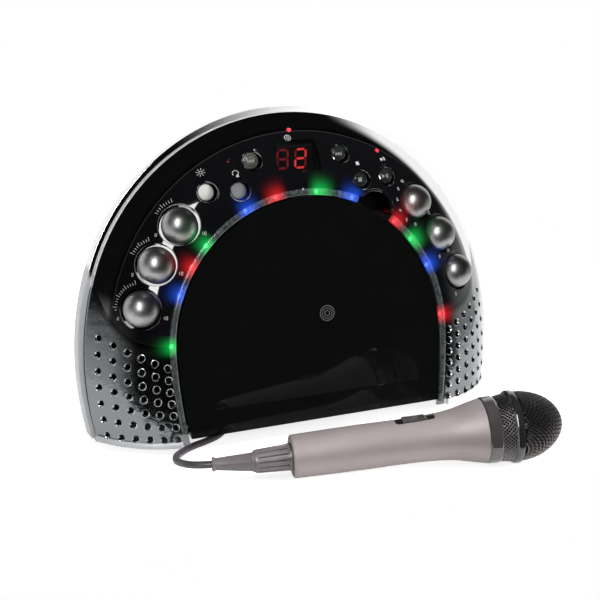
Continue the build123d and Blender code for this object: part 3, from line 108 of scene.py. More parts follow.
STATUS_R, STATUS_LIP, STATUS_FLOOR, STATUS_HOLE = 1.7, 0.2, 2.0, 1.4
DOOR_SIGN_AT, DOOR_SIGN_RINGS = (11.0, 67.0), ((4.7, 0.5), (3.2, 0.45), (1.5, 0.5))
SUN_AT, LOOP_AT, SQUARE_AT, PLAY_AT, DISC_AT, POINTER_AT = (
    (-64.2, 165.0), (-43.5, 163.0), (42.0, 162.6), (64.0, 163.6), (-3.0, 182.6), (-0.6, 149.6))
INK_LIFT, DIAL_INK, NUMBER_INK = 0.05, 0.32, 0.28

# where the fascia's finish and its painted reflections change: millimetres for the lobes, shares for the rim and
# metres for the rest
LOBE_EDGE, LOBE_SWELL, LOBE_SOFT = 57.0, 52.0, 3.5
CHROME_FROM = (0.70, 0.76)
FLANGE_FROM = (RIM_SHARE + 0.002, RIM_SHARE + 0.01)
BEVEL_FROM = (RIM_SHARE - 0.0012, RIM_SHARE - 0.0003)
FOOT_TO = (0.0079, 0.0083)
LIT_SIDE = (-0.075, 0.03)

# ================= microphone and cord, in millimetres =================
MIC_TAIL = Vector((-44.6, -60.5, 13.27))
MIC_HEADING, MIC_RISE = math.radians(-13.4), math.radians(4.14)
MIC_AXIS = Vector((math.cos(MIC_HEADING) * math.cos(MIC_RISE),
                   math.sin(MIC_HEADING) * math.cos(MIC_RISE), math.sin(MIC_RISE)))
MIC_SIDE = Vector((math.sin(MIC_HEADING), -math.cos(MIC_HEADING), 0))
MIC_TOP = MIC_SIDE.cross(MIC_AXIS).normalized()
BOOT_TIP = Vector((-90.257, -45.083, 9.769))
BOOT_SLEEVE = 23.0
CORD_R = 2.3
CORD_Z = 2.35
CORD_ROUTE = [
    (-98.495, -41.518, 9.119),
    (-104.0, -34.6, 8.0),
    (-106.2, -24.6, 6.0),
    (-103.8, -14.2, 4.2),
    (-97.0, -4.6, 2.5),
    (-87.4, 2.0, 2.4),
    (-76.4, 6.2, CORD_Z),
    (-66.2, 11.6, CORD_Z),
    (-58.2, 20.4, CORD_Z),
    (-53.6, 32.4, CORD_Z),
    (-52.0, 48.0, CORD_Z),
    (-51.9, 68.0, CORD_Z),
    (-51.2, 90.0, CORD_Z),
    (-49.7, 112.0, CORD_Z),
    (-47.3, 132.4, CORD_Z),
]
COIL_EXIT = [(3.0, 152.0, 15.2), (7.0, 142.0, 15.6), (10.5, 133.5, 10.5), (14.5, 127.8, 5.6)]
TAIL_ROUTE = [
    (20.5, 125.6, 4.6),
    (32.5, 126.3, 6.35),
    (43.0, 131.0, 6.35),
]
COIL_AT = (-22.0, 153.0)
COIL_RADII = (22.4, 27.0, 31.6)
COIL_LEVELS = (2.35, 6.8, 11.3)
COIL_START, COIL_LAST_SHARE, LANE_CHANGE = math.pi * 0.86, 0.43, 0.6
SLIDER_START, SLIDER_LENGTH, SLIDER_HALF, SLIDER_RIBS = 70.2, 15.0, 3.3, 9
SLIDER_FOOT, SLIDER_EDGE, SLIDER_TOP, RIB_TOP = 13.4, 14.5, 14.8, 15.1
LINER_ENDS, LINER_LEVELS, LINER_HALF = (65.5, 90.5), (12.6, 13.25), 3.8
BARREL_ENDS, BARREL_FOOT_R, BARREL_FLARE = (128.6, 137.4), 19.7, 0.155
BALL_START, BALL_R, BALL_END, CROSSING = 142.0, 21.3, 171.2, 0.8
FLUTE_FROM = 0.72
TIP, CREASE = 1e-6, math.radians(32)


def on_face(x, w, n):
    """The point x across, w up the lean and n out of the face."""
    return FACE_ORIGIN + ACROSS * x + UP * w + OUT * n


def in_face(across, upward):
    """A direction that lies in the face's plane."""
    return (ACROSS * across + UP * upward).normalized()


def on_mic(along, top=0.0, side=0.0):
    """The point along the microphone from its tail, and beside its axis."""
    return MIC_TAIL + MIC_AXIS * along + MIC_TOP * top + MIC_SIDE * side


def face_place(point):
    """The (x, w, n) of a point."""
    along = point - FACE_ORIGIN
    return point.x, along.dot(UP), along.dot(OUT)


def arch(share):
    """Centre, radius and turn of the top arc, then centre and radius of the side arc."""
    centre = INNER_W + share * (OUTER_W - INNER_W)
    top = INNER_R + share * (OUTER_R - INNER_R)
    turn = math.radians(share * OUTER_TURN)
    side = 1 / (1 / INNER_SIDE_R + share * (1 / OUTER_SIDE_R - 1 / INNER_SIDE_R))
    return centre, top, turn, (top - side) * math.cos(turn), centre + (top - side) * math.sin(turn), side


def dome_height(share):
    return DOME_RISE * (1 - share * share)


def arch_gap(share, x, w):
    """How far (x, w) lies outside the arch of this share."""
    centre, top, turn, side_x, side_w, side = arch(share)
    x = abs(x)
    if math.atan2(w - centre, x) >= turn:
        return math.hypot(x, w - centre) - top
    return math.hypot(x - side_x, w - side_w) - side


def dome_share(x, w):
    """The share of the arch that passes through (x, w)."""
    low, high = 0.0, 1.2
    for _ in range(24):
        middle = (low + high) / 2
        if arch_gap(middle, x, w) > 0:
            low = middle
        else:
            high = middle
    return (low + high) / 2


def dome_n(x, w):
    return dome_height(dome_share(x, w))


def dome_normal(x, w):
    step = 0.1
    rise_x = (dome_n(x + step, w) - dome_n(x - step, w)) / (2 * step)
    rise_w = (dome_n(x, w + step) - dome_n(x, w - step)) / (2 * step)
    return (Vector((-rise_x, 0, 0)) - UP * rise_w + OUT).normalized()


def dome_axes(x, w):
    """A point on the dome with its sideways, upward and outward directions."""
    normal = dome_normal(x, w)
    sideways = Vector((0, 0, 1)).cross(normal).normalized()
    return on_face(x, w, dome_n(x, w)), sideways, normal.cross(sideways), normal


def onto_dome(point, normal):
    """The point moved along the normal until it lies on the dome."""
    for _ in range(4):
        x, w, n = face_place(point)
        point = point + normal * ((dome_n(x, w) - n) / max(normal.dot(OUT), 0.3))
    return point


def outline(share, n, inset=0.0, side_steps=40, top_steps=64):
    """The arch of this share, from its right foot over the top to its left foot, as (x, w)."""
    centre, top, turn, side_x, side_w, side = arch(share)
    low = math.asin((-n * SIN / COS - side_w) / (side - inset))
    right = []
    for i in range(side_steps):
        angle = low + (turn - low) * i / side_steps
        right.append((side_x + (side - inset) * math.cos(angle), side_w + (side - inset) * math.sin(angle)))
    for i in range(top_steps):
        angle = turn + (math.pi / 2 - turn) * i / top_steps
        right.append(((top - inset) * math.cos(angle), centre + (top - inset) * math.sin(angle)))
    return right + [(0.0, centre + top - inset)] + [(-x, w) for x, w in reversed(right)]


def pairs(row):
    """Each point of a closed row with the next one."""
    return zip(row, row[1:] + row[:1])


def quads(first, second):
    """The four corners of each face between two closed rows."""
    return [(a, b, c, d) for (a, b), (d, c) in zip(pairs(first), pairs(second))]


def outward(row, k):
    """The direction out of a flat row at its point k."""
    (x1, w1), (x2, w2) = row[max(0, k - 1)], row[min(len(row) - 1, k + 1)]
    return in_face(w2 - w1, x1 - x2)


def over_dome(flat, rise=0.0):
    """Flat points carried straight out of the face to the dome, and past it by rise."""
    return [on_face(x, w, dome_n(x, w) + rise) for x, w in flat]


def laid(place, flat):
    """Flat points round a place, pressed onto the dome along its normal there."""
    origin, sideways, upward, normal = dome_axes(*place)
    return [onto_dome(origin + sideways * a + upward * b, normal) for a, b in flat]


def flattened(ring):
    return [face_place(point)[:2] for point in ring]


def near_notch(x, w, margin):
    """Whether a flat point lies in the thumb notch or within the margin of it."""
    return math.hypot(x - NOTCH_AT[0], w - NOTCH_AT[1]) < NOTCH_R + margin


def inside(point, loop):
    """Whether a flat point lies in a closed loop."""
    x, y = point
    crossed = False
    for (x1, y1), (x2, y2) in pairs(loop):
        if (y1 > y) != (y2 > y) and x < x1 + (y - y1) * (x2 - x1) / (y2 - y1):
            crossed = not crossed
    return crossed


def polar(radius, angle):
    return radius * math.cos(angle), radius * math.sin(angle)


def circle(count, radius):
    return [polar(radius, 2 * math.pi * i / count) for i in range(count)]


def quarter_round(along, rise, radius, steps):
    """A profile from just above along, where it is radius wide, over to the axis."""
    turns = [math.pi / 2 * i / steps for i in range(1, steps + 1)]
    return [(along + rise * math.sin(turn), radius * math.cos(turn)) for turn in turns]


# ================= meshes =================
class Skin:
    """Faces in millimetres with a normal for each corner; corners that meet are welded."""

    def __init__(self):
        self.points, self.lookup, self.faces, self.normals, self.slots = [], {}, [], [], []

    def corner(self, point):
        key = tuple(round(value * 500) for value in point)
        if key not in self.lookup:
            self.lookup[key] = len(self.points)
            self.points.append(Vector(point))
        return self.lookup[key]

    def face(self, points, normals=None, slot=0):
        """Adds one face, turned to agree with its normals."""
        corners = [self.corner(point) for point in points]
        kept = [i for i, corner in enumerate(corners) if corner != corners[i - 1]]
        if len(kept) < 3:
            return
        corners = [corners[i] for i in kept]
        flat = Vector()
        for a, b in pairs(corners):
            flat += self.points[a].cross(self.points[b])
        if flat.length < 1e-9:
            return
        normals = [normals[i] for i in kept] if normals else [flat.normalized()] * len(corners)
        if flat.dot(sum(normals, Vector())) < 0:
            corners.reverse()
            normals = normals[::-1]
        self.faces.append(corners)
        self.normals.append(normals)
        self.slots.append(slot)

    def strip(self, first, second, first_normals, second_normals, closed=False):
        """A band of quads between two rows of points."""
        count = len(first) if closed else len(first) - 1
        for i in range(count):
            j = (i + 1) % len(first)
            self.face([first[i], first[j], second[j], second[i]],
                      [first_normals[i], first_normals[j], second_normals[j], second_normals[i]])

    def thicken(self, thickness):
        """Closes an open skin with a second skin behind it and a rim between the two."""
        total = [Vector() for _ in self.points]
        edges = {}
        for face, normals in zip(self.faces, self.normals):
            for i, corner in enumerate(face):
                total[corner] += normals[i]
                follower = face[(i + 1) % len(face)]
                edges[(corner, follower)] = edges.get((corner, follower), 0) + 1
        behind = [point - push.normalized() * thickness for point, push in zip(self.points, total)]
        for face in list(self.faces):
            self.face([behind[corner] for corner in face], [-total[corner].normalized() for corner in face])
        for a, b in edges:
            if (b, a) not in edges:
                side = (self.points[b] - self.points[a]).cross(total[a]).normalized()
                self.face([self.points[a], self.points[b], behind[b], behind[a]], [side] * 4)

    def object(self, name, *materials, share=False):
        """The skin as an object, in metres; share adds the place between door and rim to each corner."""
        mesh = bpy.data.meshes.new(name)
        mesh.from_pydata([point * MM for point in self.points], [], self.faces)
        for material in materials:
            mesh.materials.append(material)
        if share:
            places = mesh.attributes.new("share", "FLOAT", "POINT").data
            places.foreach_set("value", [dome_share(*at) for at in flattened(self.points)])
        mesh.polygons.foreach_set("material_index", self.slots)
        mesh.polygons.foreach_set("use_smooth", [True] * len(self.faces))
        mesh.update()
        mesh.normals_split_custom_set([normal for face in self.normals for normal in face])
        return linked(name, mesh)


def linked(name, data):
    thing = bpy.data.objects.new(name, data)
    bpy.context.scene.collection.objects.link(thing)
    return thing


def finished(name, builder, *materials):
    """An object from a bmesh, shaded smooth with its creases marked by angle."""
    mesh = bpy.data.meshes.new(name)
    builder.to_mesh(mesh)
    builder.free()
    for material in materials:
        mesh.materials.append(material)
    mesh.set_sharp_from_angle(angle=CREASE)
    mesh.polygons.foreach_set("use_smooth", [True] * len(mesh.polygons))
    return linked(name, mesh)


def lofted(name, rings, finish, closed=False):
    """A mesh through rings of points in millimetres; a ring of one point is a tip, and closed adds end faces."""
    builder = bmesh.new()
    width = max(len(ring) for ring in rings)
    rows = []
    for ring in rings:
        corners = [builder.verts.new(point * MM) for point in ring]
        rows.append(corners if len(corners) > 1 else corners * width)
    for first, second in zip(rows, rows[1:]):
        for quad in quads(first, second):
            corners = list(dict.fromkeys(quad))
            if len(corners) > 2:
                builder.faces.new(corners)
    if closed:
        builder.faces.new(rows[0])
        builder.faces.new(rows[-1][::-1])
    bmesh.ops.recalc_face_normals(builder, faces=builder.faces)
    return finished(name, builder, finish)


def turned(name, profile, origin, axis, side, finish, steps=64):
    """A mesh turned from (along, radius) points about an axis."""
    across = axis.cross(side)
    rings = []
    for along, radius in profile:
        middle = origin + axis * along
        rings.append([middle] if radius < TIP else
                     [middle + side * a + across * b for a, b in circle(steps, radius)])
    return lofted(name, rings, finish)


def turned_on_dome(name, profile, place, finish, steps, lift=0.0):
    origin, sideways, _, normal = dome_axes(*place)
    return turned(name, profile, origin + normal * lift, normal, sideways, finish, steps)


def joined(name, parts):
    """Several objects made into one, with their materials kept."""
    builder = bmesh.new()
    materials = list(dict.fromkeys(material for part in parts for material in part.data.materials))
    for part in parts:
        before = len(builder.faces)
        builder.from_mesh(part.data)
        builder.faces.ensure_lookup_table()
        for face in builder.faces[before:]:
            face.material_index = materials.index(part.data.materials[face.material_index])
    for part in parts:
        bpy.data.objects.remove(part)
    return finished(name, builder, *materials)


def grown(thing, tree, **inputs):
    """The object as a node tree makes it, with the tree's inputs set by their sockets' identifiers."""
    modifier = thing.modifiers.new(tree.name, "NODES")
    modifier.node_group = tree
    for label, value in inputs.items():
        modifier[tree.interface.items_tree[label].identifier] = value
    shape = bpy.data.meshes.new_from_object(thing.evaluated_get(bpy.context.evaluated_depsgraph_get()))
    thing.modifiers.clear()
    thing.data = shape
    return thing


# ================= node helpers =================
def fill(node, inputs):
    """Fills a node's inputs, named or in order, with values or sockets; None leaves one as it is."""
    for place, value in inputs.items() if isinstance(inputs, dict) else enumerate(inputs):
        if isinstance(value, bpy.types.NodeSocket):
            node.id_data.links.new(value, node.inputs[place])
        elif value is not None:
            node.inputs[place].default_value = value


def put(tree, kind, inputs=(), **settings):
    """Adds a node, sets its properties and fills its inputs."""
    node = tree.nodes.new(kind)
    for name, value in settings.items():
        setattr(node, name, value)
    fill(node, inputs)
    return node


def math_of(operation, *values, clamp=False):
    """A maths node's result, in the tree that the first socket among its values belongs to."""
    tree = next(value.id_data for value in values if isinstance(value, bpy.types.NodeSocket))
    return put(tree, "ShaderNodeMath", values, operation=operation, use_clamp=clamp).outputs[0]


def plus(a, b):
    return math_of("ADD", a, b)


def minus(a, b, clamp=False):
    return math_of("SUBTRACT", a, b, clamp=clamp)


def times(a, b, clamp=False):
    return math_of("MULTIPLY", a, b, clamp=clamp)


def most(a, b):
    return math_of("MAXIMUM", a, b)


def rest(value):
    """What a value leaves of 1."""
    return minus(1.0, value)


def smooth(value, low, high):
    """0 below low and 1 above high, with a soft step between them."""
    inputs = (value, low, high, 0.0, 1.0)
    return put(value.id_data, "ShaderNodeMapRange", inputs, interpolation_type="SMOOTHSTEP").outputs[0]


def ramp_of(factor, *stops, mode="LINEAR"):
    """A colour ramp through (place, colour) stops."""
    node = put(factor.id_data, "ShaderNodeValToRGB", (factor,))
    node.color_ramp.interpolation = mode
    while len(node.color_ramp.elements) < len(stops):
        node.color_ramp.elements.new(1.0)
    for element, (place, colour) in zip(node.color_ramp.elements, stops):
        element.position = place
        element.color = (*colour, 1)
    return node.outputs[0]


def mixed(factor, first, second):
    """The first colour where the factor is 0 and the second where it is 1."""
    node = put(factor.id_data, "ShaderNodeMix", data_type="RGBA")
    fill(node, {"Factor": factor, 6: first, 7: second})
    return node.outputs[2]


def noise_of(place, scale, detail=2.0, **more):
    inputs = {"Vector": place, "Scale": scale, "Detail": detail, **more}
    return put(place.id_data, "ShaderNodeTexNoise", inputs).outputs["Fac"]


def bump_of(height, strength, distance, normal=None):
    """The normal of a surface raised by a height, on top of another bump's normal if one is given."""
    inputs = {"Strength": strength, "Distance": distance, "Height": height, "Normal": normal}
    return put(height.id_data, "ShaderNodeBump", inputs).outputs["Normal"]


def object_place(tree):
    return put(tree, "ShaderNodeTexCoord").outputs["Object"]


def parts_of(vector):
    return put(vector.id_data, "ShaderNodeSeparateXYZ", (vector,)).outputs


def face_coordinates(vector):
    """How far a place lies across the face and up its lean, in metres."""
    parts = parts_of(vector)
    level = minus(parts[1], FACE_ORIGIN.y * MM)
    height = minus(parts[2], FACE_ORIGIN.z * MM)
    return parts[0], plus(times(level, SIN), times(height, COS))


def new_tree(name, kind, inputs, outputs):
    """A node group with its sockets, given as label: (type, default), and its two end nodes."""
    group = bpy.data.node_groups.new(name, kind)
    for side, sockets in (("INPUT", inputs), ("OUTPUT", outputs)):
        for label, (socket_type, default) in sockets.items():
            socket = group.interface.new_socket(label, in_out=side, socket_type="NodeSocket" + socket_type)
            if default is not None:
                socket.default_value = default
    return group, group.nodes.new("NodeGroupInput").outputs, group.nodes.new("NodeGroupOutput")


# ================= shared shader groups =================
def grain_group():
    """Fine moulded grain with faint handling marks: a height and a roughness to add."""
    if found := bpy.data.node_groups.get("moulded_grain"):
        return found
    group, given, result = new_tree(
        "moulded_grain", "ShaderNodeTree",
        {"Vector": ("Vector", None), "Scale": ("Float", 900.0), "Spread": ("Float", 0.06)},
        {"Height": ("Float", None), "Roughness": ("Float", None)})
    fine = noise_of(given["Vector"], given["Scale"], 3.0, Roughness=0.6)
    streak = minus(noise_of(given["Vector"], 28.0, 4.0), 0.5)
    fill(result, {"Height": fine, "Roughness": times(streak, given["Spread"])})
    return group


def lamp_glow_group():
    """The coloured light of the ring's lamps, spread over what lies close to them."""
    if found := bpy.data.node_groups.get("lamp_glow"):
        return found
    group, given, result = new_tree(
        "lamp_glow", "ShaderNodeTree", {"Vector": ("Vector", None), "Reach": ("Float", 0.006)},
        {"Color": ("Color", None)})
    side, up = face_coordinates(given["Vector"])
    up = minus(up, INNER_W * MM)
    away = math_of("SQRT", plus(times(side, side), times(up, up)))
    turn = math_of("DIVIDE", math_of("ARCTAN2", side, up), 2 * math.pi)
    hue = ramp_of(plus(turn, 0.5), *lamp_stops(), mode="EASE")
    off = math_of("DIVIDE", minus(away, RING_MID_R * MM), given["Reach"])
    spread = math_of("EXPONENT", times(times(off, off), -1.0))
    tinted = put(group, "ShaderNodeVectorMath", {0: hue, 3: spread}, operation="SCALE")
    fill(result, {"Color": tinted.outputs[0]})
    return group


def lamp_stops(reach=DARK_REACH):
    """Stops of a ramp once round the ring: each lamp's colour, and black between the lamps."""
    black = (0, 0, 0)
    angles = [(90 - angle, name) for angle, name in reversed(RING_LAMPS)]
    stops = [(-180.0, black), (angles[0][0] - reach, black)]
    for (here, name), (following, _) in zip(angles, angles[1:] + [(180.0, "")]):
        stops.append((here, chosen(name + "_lamp")))
        if following - here > DARK_GAP * reach:
            stops += [(here + reach, black), (following - reach, black)]
        else:
            stops.append(((here + following) / 2, black))
    return [(0.5 + angle / 360, colour) for angle, colour in stops[:-1]]


def chosen(name):
    """One of the user's colours."""
    return tuple(getattr(bpy.context.scene.karaoke_colours, name))


# ================= finishes =================
def material_base(name, colour, roughness, metallic=0.0):
    """A named material with its tree and its shader."""
    material = bpy.data.materials.new(name)
    material.use_nodes = True
    tree = material.node_tree
    shader = tree.nodes["Principled BSDF"]
    fill(shader, {"Base Color": (*colour, 1), "Roughness": roughness, "Metallic": metallic})
    material.diffuse_color = (*colour, 1)
    return material, tree, shader


def with_grain(place, **inputs):
    """The grain's height and the roughness it adds."""
    return put(place.id_data, "ShaderNodeGroup", {"Vector": place, **inputs}, node_tree=grain_group()).outputs


def lit_by_lamps(shader, place, reach, strength):
    """Lets the ring's lamps shine on a finish."""
    glow = put(place.id_data, "ShaderNodeGroup", {"Vector": place, "Reach": reach}, node_tree=lamp_glow_group())
    fill(shader, {"Emission Color": glow.outputs["Color"], "Emission Strength": strength})


def grained(name, colour, roughness, metallic=0.0, scale=900.0, depth=0.04, spread=0.08, coat=0.0, alpha=1.0,
            tint=0.12):
    """A moulded, cast or painted finish: fine grain, slight cloudiness and handling marks."""
    if found := bpy.data.materials.get(name):
        return found
    material, tree, shader = material_base(name, colour, roughness, metallic)
    place = object_place(tree)
    grain = with_grain(place, Scale=scale, Spread=spread)
    dim = tuple(value * (1 - tint) for value in colour)
    bright = tuple(min(1.0, value * (1 + tint)) for value in colour)
    fill(shader, {"Base Color": ramp_of(noise_of(place, 60.0, 3.0), (0.3, dim), (0.7, bright)),
                  "Roughness": plus(grain["Roughness"], roughness),
                  "Normal": bump_of(grain["Height"], depth, 0.0004),
                  "Coat Weight": coat, "Coat Roughness": 0.06, "Alpha": alpha})
    return material


def glowing(name, colour, strength, roughness=0.2):
    """A lit lamp or segment, slightly paler in patches."""
    if found := bpy.data.materials.get(name):
        return found
    material, tree, shader = material_base(name, tuple(value * 0.5 for value in colour), roughness)
    pale = tuple(value * 0.9 + 0.1 * max(colour) for value in colour)
    noise = noise_of(object_place(tree), 700.0)
    fill(shader, {"Emission Color": ramp_of(noise, (0.35, colour), (0.75, pale)),
                  "Emission Strength": strength})
    return material


def fascia_black():
    """Gloss black above, bright metal at the rim and darker metal in the lobes, with pale painted reflections at the
    edges.

    The flange is painted pale beside the lobes and toward the right, paler the further right, as a painted reflection;
    the dome's bevelled edge above the lobes and the lip at the foot are painted pale as highlights. The ring's lamps
    shine on the black beside them.
    """
    if found := bpy.data.materials.get("fascia_black"):
        return found
    material, tree, shader = material_base("fascia_black", chosen("fascia"), 0.12)
    place = object_place(tree)
    share = put(tree, "ShaderNodeAttribute", attribute_name="share").outputs["Fac"]
    side, up = face_coordinates(place)
    edge = plus(times(times(times(share, share), share), LOBE_SWELL * MM), LOBE_EDGE * MM)
    lobe = rest(smooth(minus(up, edge), -LOBE_SOFT * MM, LOBE_SOFT * MM))
    rim = smooth(share, *CHROME_FROM)
    painted_light_rightward = smooth(side, *LIT_SIDE)
    flange = smooth(share, *FLANGE_FROM)
    bevel = minus(smooth(share, *BEVEL_FROM), flange, clamp=True)
    foot = rest(smooth(parts_of(place)[2], *FOOT_TO))
    # pale: where the flange, the bevel and the foot carry painted reflections and highlights in a pale tone
    pale = most(times(flange, most(lobe, painted_light_rightward)), times(bevel, rest(lobe)))
    pale = most(pale, foot)
    metals = mixed(lobe, ramp_of(rim, (0.0, chosen("fascia")), (1.0, chosen("rim"))), (*chosen("lobe"), 1))
    # the pale tone of the painted reflection, brighter toward the right
    plastic = ramp_of(painted_light_rightward, (0.0, (0.6, 0.61, 0.63)), (1.0, (0.84, 0.84, 0.84)))
    grain = with_grain(place, Spread=0.04)
    waves = bump_of(times(noise_of(place, 130.0, 3.0), lobe), 0.35, 0.0008, bump_of(grain["Height"], 0.015, 0.0004))
    fill(shader, {"Base Color": mixed(pale, metals, plastic),
                  # the metal leads the colour, so that no pale band shows where the two meet
                  "Metallic": times(times(most(rim, lobe), 8.0, clamp=True), rest(pale)),
                  "Roughness": plus(plus(grain["Roughness"], 0.06), plus(times(lobe, 0.06), times(pale, 0.3))),
                  "Normal": waves, "Coat Weight": 0.7, "Coat Roughness": 0.02})
    lit_by_lamps(shader, place, 0.0064, 0.62)
    return material


def ring_clear():
    """Clear plastic, dark between the lamps, that carries their light a little way along the ring."""
    if found := bpy.data.materials.get("ring_clear"):
        return found
    material, tree, shader = material_base("ring_clear", (0.1, 0.12, 0.12), 0.1)
    place = object_place(tree)
    noise = noise_of(place, 420.0, 3.0)
    fill(shader, {"Base Color": ramp_of(noise, (0.35, (0.03, 0.038, 0.04)), (0.75, (0.2, 0.225, 0.235))),
                  "Normal": bump_of(noise, 0.3, 0.0006), "Alpha": 0.55, "Coat Weight": 1.0, "Coat Roughness": 0.05})
    lit_by_lamps(shader, place, 0.02, 1.0)
    return material


# ================= sizes and colours a user would change =================
def length(name, description, default):
    return bpy.props.FloatProperty(name=name, description=description, default=default, unit="LENGTH")


def tone(name, description, default):
    return bpy.props.FloatVectorProperty(name=name, description=description, subtype="COLOR", size=3,
                                         default=default, min=0, max=1)


class KaraokeSizes(bpy.types.PropertyGroup):
    hole_radius: length("Grille hole", "Radius of a grille hole", 0.0017)
    rim_radius: length("Grille rim", "Outer radius of a grille hole's bevel", 0.0026)
    fascia_wall: length("Fascia wall", "Thickness of the fascia's wall", 0.0016)
    lip_reach: length("Lip", "How far the lip at the foot stands out", 0.0025)
    wire_radius: length("Wire", "Radius of the microphone mesh's wire", 0.00036)
    wire_pitch: length("Wire pitch", "Distance between the mesh's wires", 0.0019)


class KaraokeColours(bpy.types.PropertyGroup):
    fascia: tone("Fascia", "Colour of the upper fascia", (0.004, 0.004, 0.005))
    lobe: tone("Lobe", "Colour of the grille lobes", (0.185, 0.2, 0.206))
    rim: tone("Rim", "Colour of the bright rim", (0.88, 0.88, 0.88))
    red_lamp: tone("Red lamp", "Colour of the red lamps", (1.0, 0.02, 0.03))
    green_lamp: tone("Green lamp", "Colour of the green lamps", (0.01, 0.75, 0.12))
    blue_lamp: tone("Blue lamp", "Colour of the blue lamps", (0.02, 0.12, 1.0))


# ================= stage =================
class KARAOKE_OT_stage(bpy.types.Operator):
    """Set up the floor, the lamps, the world and the camera"""

    bl_idname = "karaoke.stage"
    bl_label = "Stage"

    def execute(self, context):
        camera = linked("camera", bpy.data.cameras.new("camera"))
        camera.location = (-0.3396, -0.768, 0.353)
        aim(camera, Vector((0.3735, 0.8783, -0.2984)))
        camera.data.sensor_width = 36
        camera.data.lens = 81.96
        camera.data.clip_start = 0.05
        context.scene.camera = camera
        context.scene.view_settings.view_transform = "Standard"
        build_floor()
        build_world(context.scene)
        build_lamps()
        return {"FINISHED"}


def aim(thing, way):
    thing.rotation_euler = way.to_track_quat("-Z", "Y").to_euler()


def build_floor():
    """Paper that ends before the camera and at the left, where the object mirrors dark surroundings."""
    left, front, right, back = -0.45, -0.13, 0.4, 2.2
    seen_glow, mirrored_glow = 0.8, 0.42
    mesh = bpy.data.meshes.new("floor")
    mesh.from_pydata([(left, front, 0), (right, front, 0), (right, back, 0), (left, back, 0)], [], [(0, 1, 2, 3)])
    material, tree, shader = material_base("floor_paper", (0.72, 0.72, 0.72), 0.9)
    path = put(tree, "ShaderNodeLightPath").outputs
    seen = most(path["Is Camera Ray"], path["Is Transmission Ray"])
    glow = plus(times(seen, seen_glow), times(path["Is Glossy Ray"], mirrored_glow))
    fill(shader, {"Emission Strength": glow, "Emission Color": (1, 1, 1, 1), "Specular IOR Level": 0.0})
    mesh.materials.append(material)
    floor = linked("floor", mesh)


def build_world(scene):
    """White where the camera looks; a white sweep behind and low beside the object, dark above and before it."""
    ambient = 0.42
    world = bpy.data.worlds.new("studio")
    scene.world = world
    world.use_nodes = True
    tree = world.node_tree
    way = parts_of(put(tree, "ShaderNodeTexCoord").outputs["Generated"])
    behind = times(smooth(way[1], 0.25, 0.36), rest(smooth(way[2], 0.5, 0.75)))
    beside = times(rest(smooth(way[2], -0.1, 0.25)), smooth(way[1], -0.75, -0.25))
    fading = minus(0.9, times(smooth(way[0], 0.0, 0.3), 0.35))
    sweep = plus(times(most(behind, times(beside, fading)), 0.97), 0.003)
    path = put(tree, "ShaderNodeLightPath").outputs
    shine = most(path["Is Glossy Ray"], path["Is Transmission Ray"])
    level = plus(times(shine, sweep), times(rest(shine), ambient))
    seen = path["Is Camera Ray"]
    fill(tree.nodes["Background"], {"Color": (1, 1, 1, 1), "Strength": plus(times(level, rest(seen)), seen)})


def build_lamps():
    """A long box at the left that only glossy faces mirror, a wide box above and a low one at the right."""
    target = Vector((-0.02, 0.0, 0.09))
    boxes = (
        ("key_box", (-0.72, -1.0, 0.9), (0.34, 1.0), 13.0, True),
        ("top_box", (0.1, -0.2, 1.3), (0.9, 0.6), 13.0, False),
        ("right_box", (1.1, -1.1, 0.5), (0.5, 0.7), 14.0, False),
    )
    for name, place, (width, height), power, mirrored in boxes:
        light = bpy.data.lights.new(name, "AREA")
        light.shape = "RECTANGLE"
        light.size, light.size_y = width, height
        light.energy = power
        lamp = linked(name, light)
        lamp.location = place
        aim(lamp, target - Vector(place))
        lamp.visible_glossy = mirrored
        lamp.visible_diffuse = not mirrored


# ================= cord =================
class KARAOKE_OT_cord(bpy.types.Operator):
    """Lay the microphone's cord round the body to its coil and plug"""

    bl_idname = "karaoke.cord"
    bl_label = "Cord"

    def execute(self, context):
        curve = bpy.data.curves.new("mic_lead", "CURVE")
        curve.dimensions = "3D"
        curve.bevel_depth = CORD_R * MM
        curve.bevel_resolution = 4
        curve.resolution_u = 6
        curve.use_fill_caps = True
        points = [tuple(BOOT_TIP)] + CORD_ROUTE + coil_turns() + COIL_EXIT + TAIL_ROUTE
        spline = curve.splines.new("NURBS")
        spline.points.add(len(points) - 1)
        for point, place in zip(spline.points, points):
            point.co = (*(Vector(place) * MM), 1)
        spline.order_u = 3
        spline.use_endpoint_u = True
        curve.materials.append(grained("cord_sheath", (0.062, 0.052, 0.062), 0.4, scale=700, depth=0.08, coat=0.15))
        cord = linked("mic_lead", curve)
        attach(cord, "housing")
        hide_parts("mic_cord", "cord_coil", "cord_tail")
        return {"FINISHED"}


def coil_turns(steps=14):
    """Turns that lie side by side in three layers, from the cord's arrival to the coil's right side."""
    lanes = [(radius, level) for k, level in enumerate(COIL_LEVELS)
             for radius in (COIL_RADII[::-1] if k % 2 == 0 else COIL_RADII)]
    points = []
    for i in range(int(steps * (len(lanes) - COIL_LAST_SHARE)) + 1):
        lane = i / steps
        k = min(int(lane), len(lanes) - 1)
        after = lanes[min(k + 1, len(lanes) - 1)]
        blend = max(0.0, (lane - k - LANE_CHANGE) / (1 - LANE_CHANGE))
        radius = lanes[k][0] + (after[0] - lanes[k][0]) * blend
        level = lanes[k][1] + (after[1] - lanes[k][1]) * blend
        angle = COIL_START + 2 * math.pi * i / steps
        points.append((COIL_AT[0] + radius * math.cos(angle), COIL_AT[1] - radius * math.sin(angle), level))
    return points


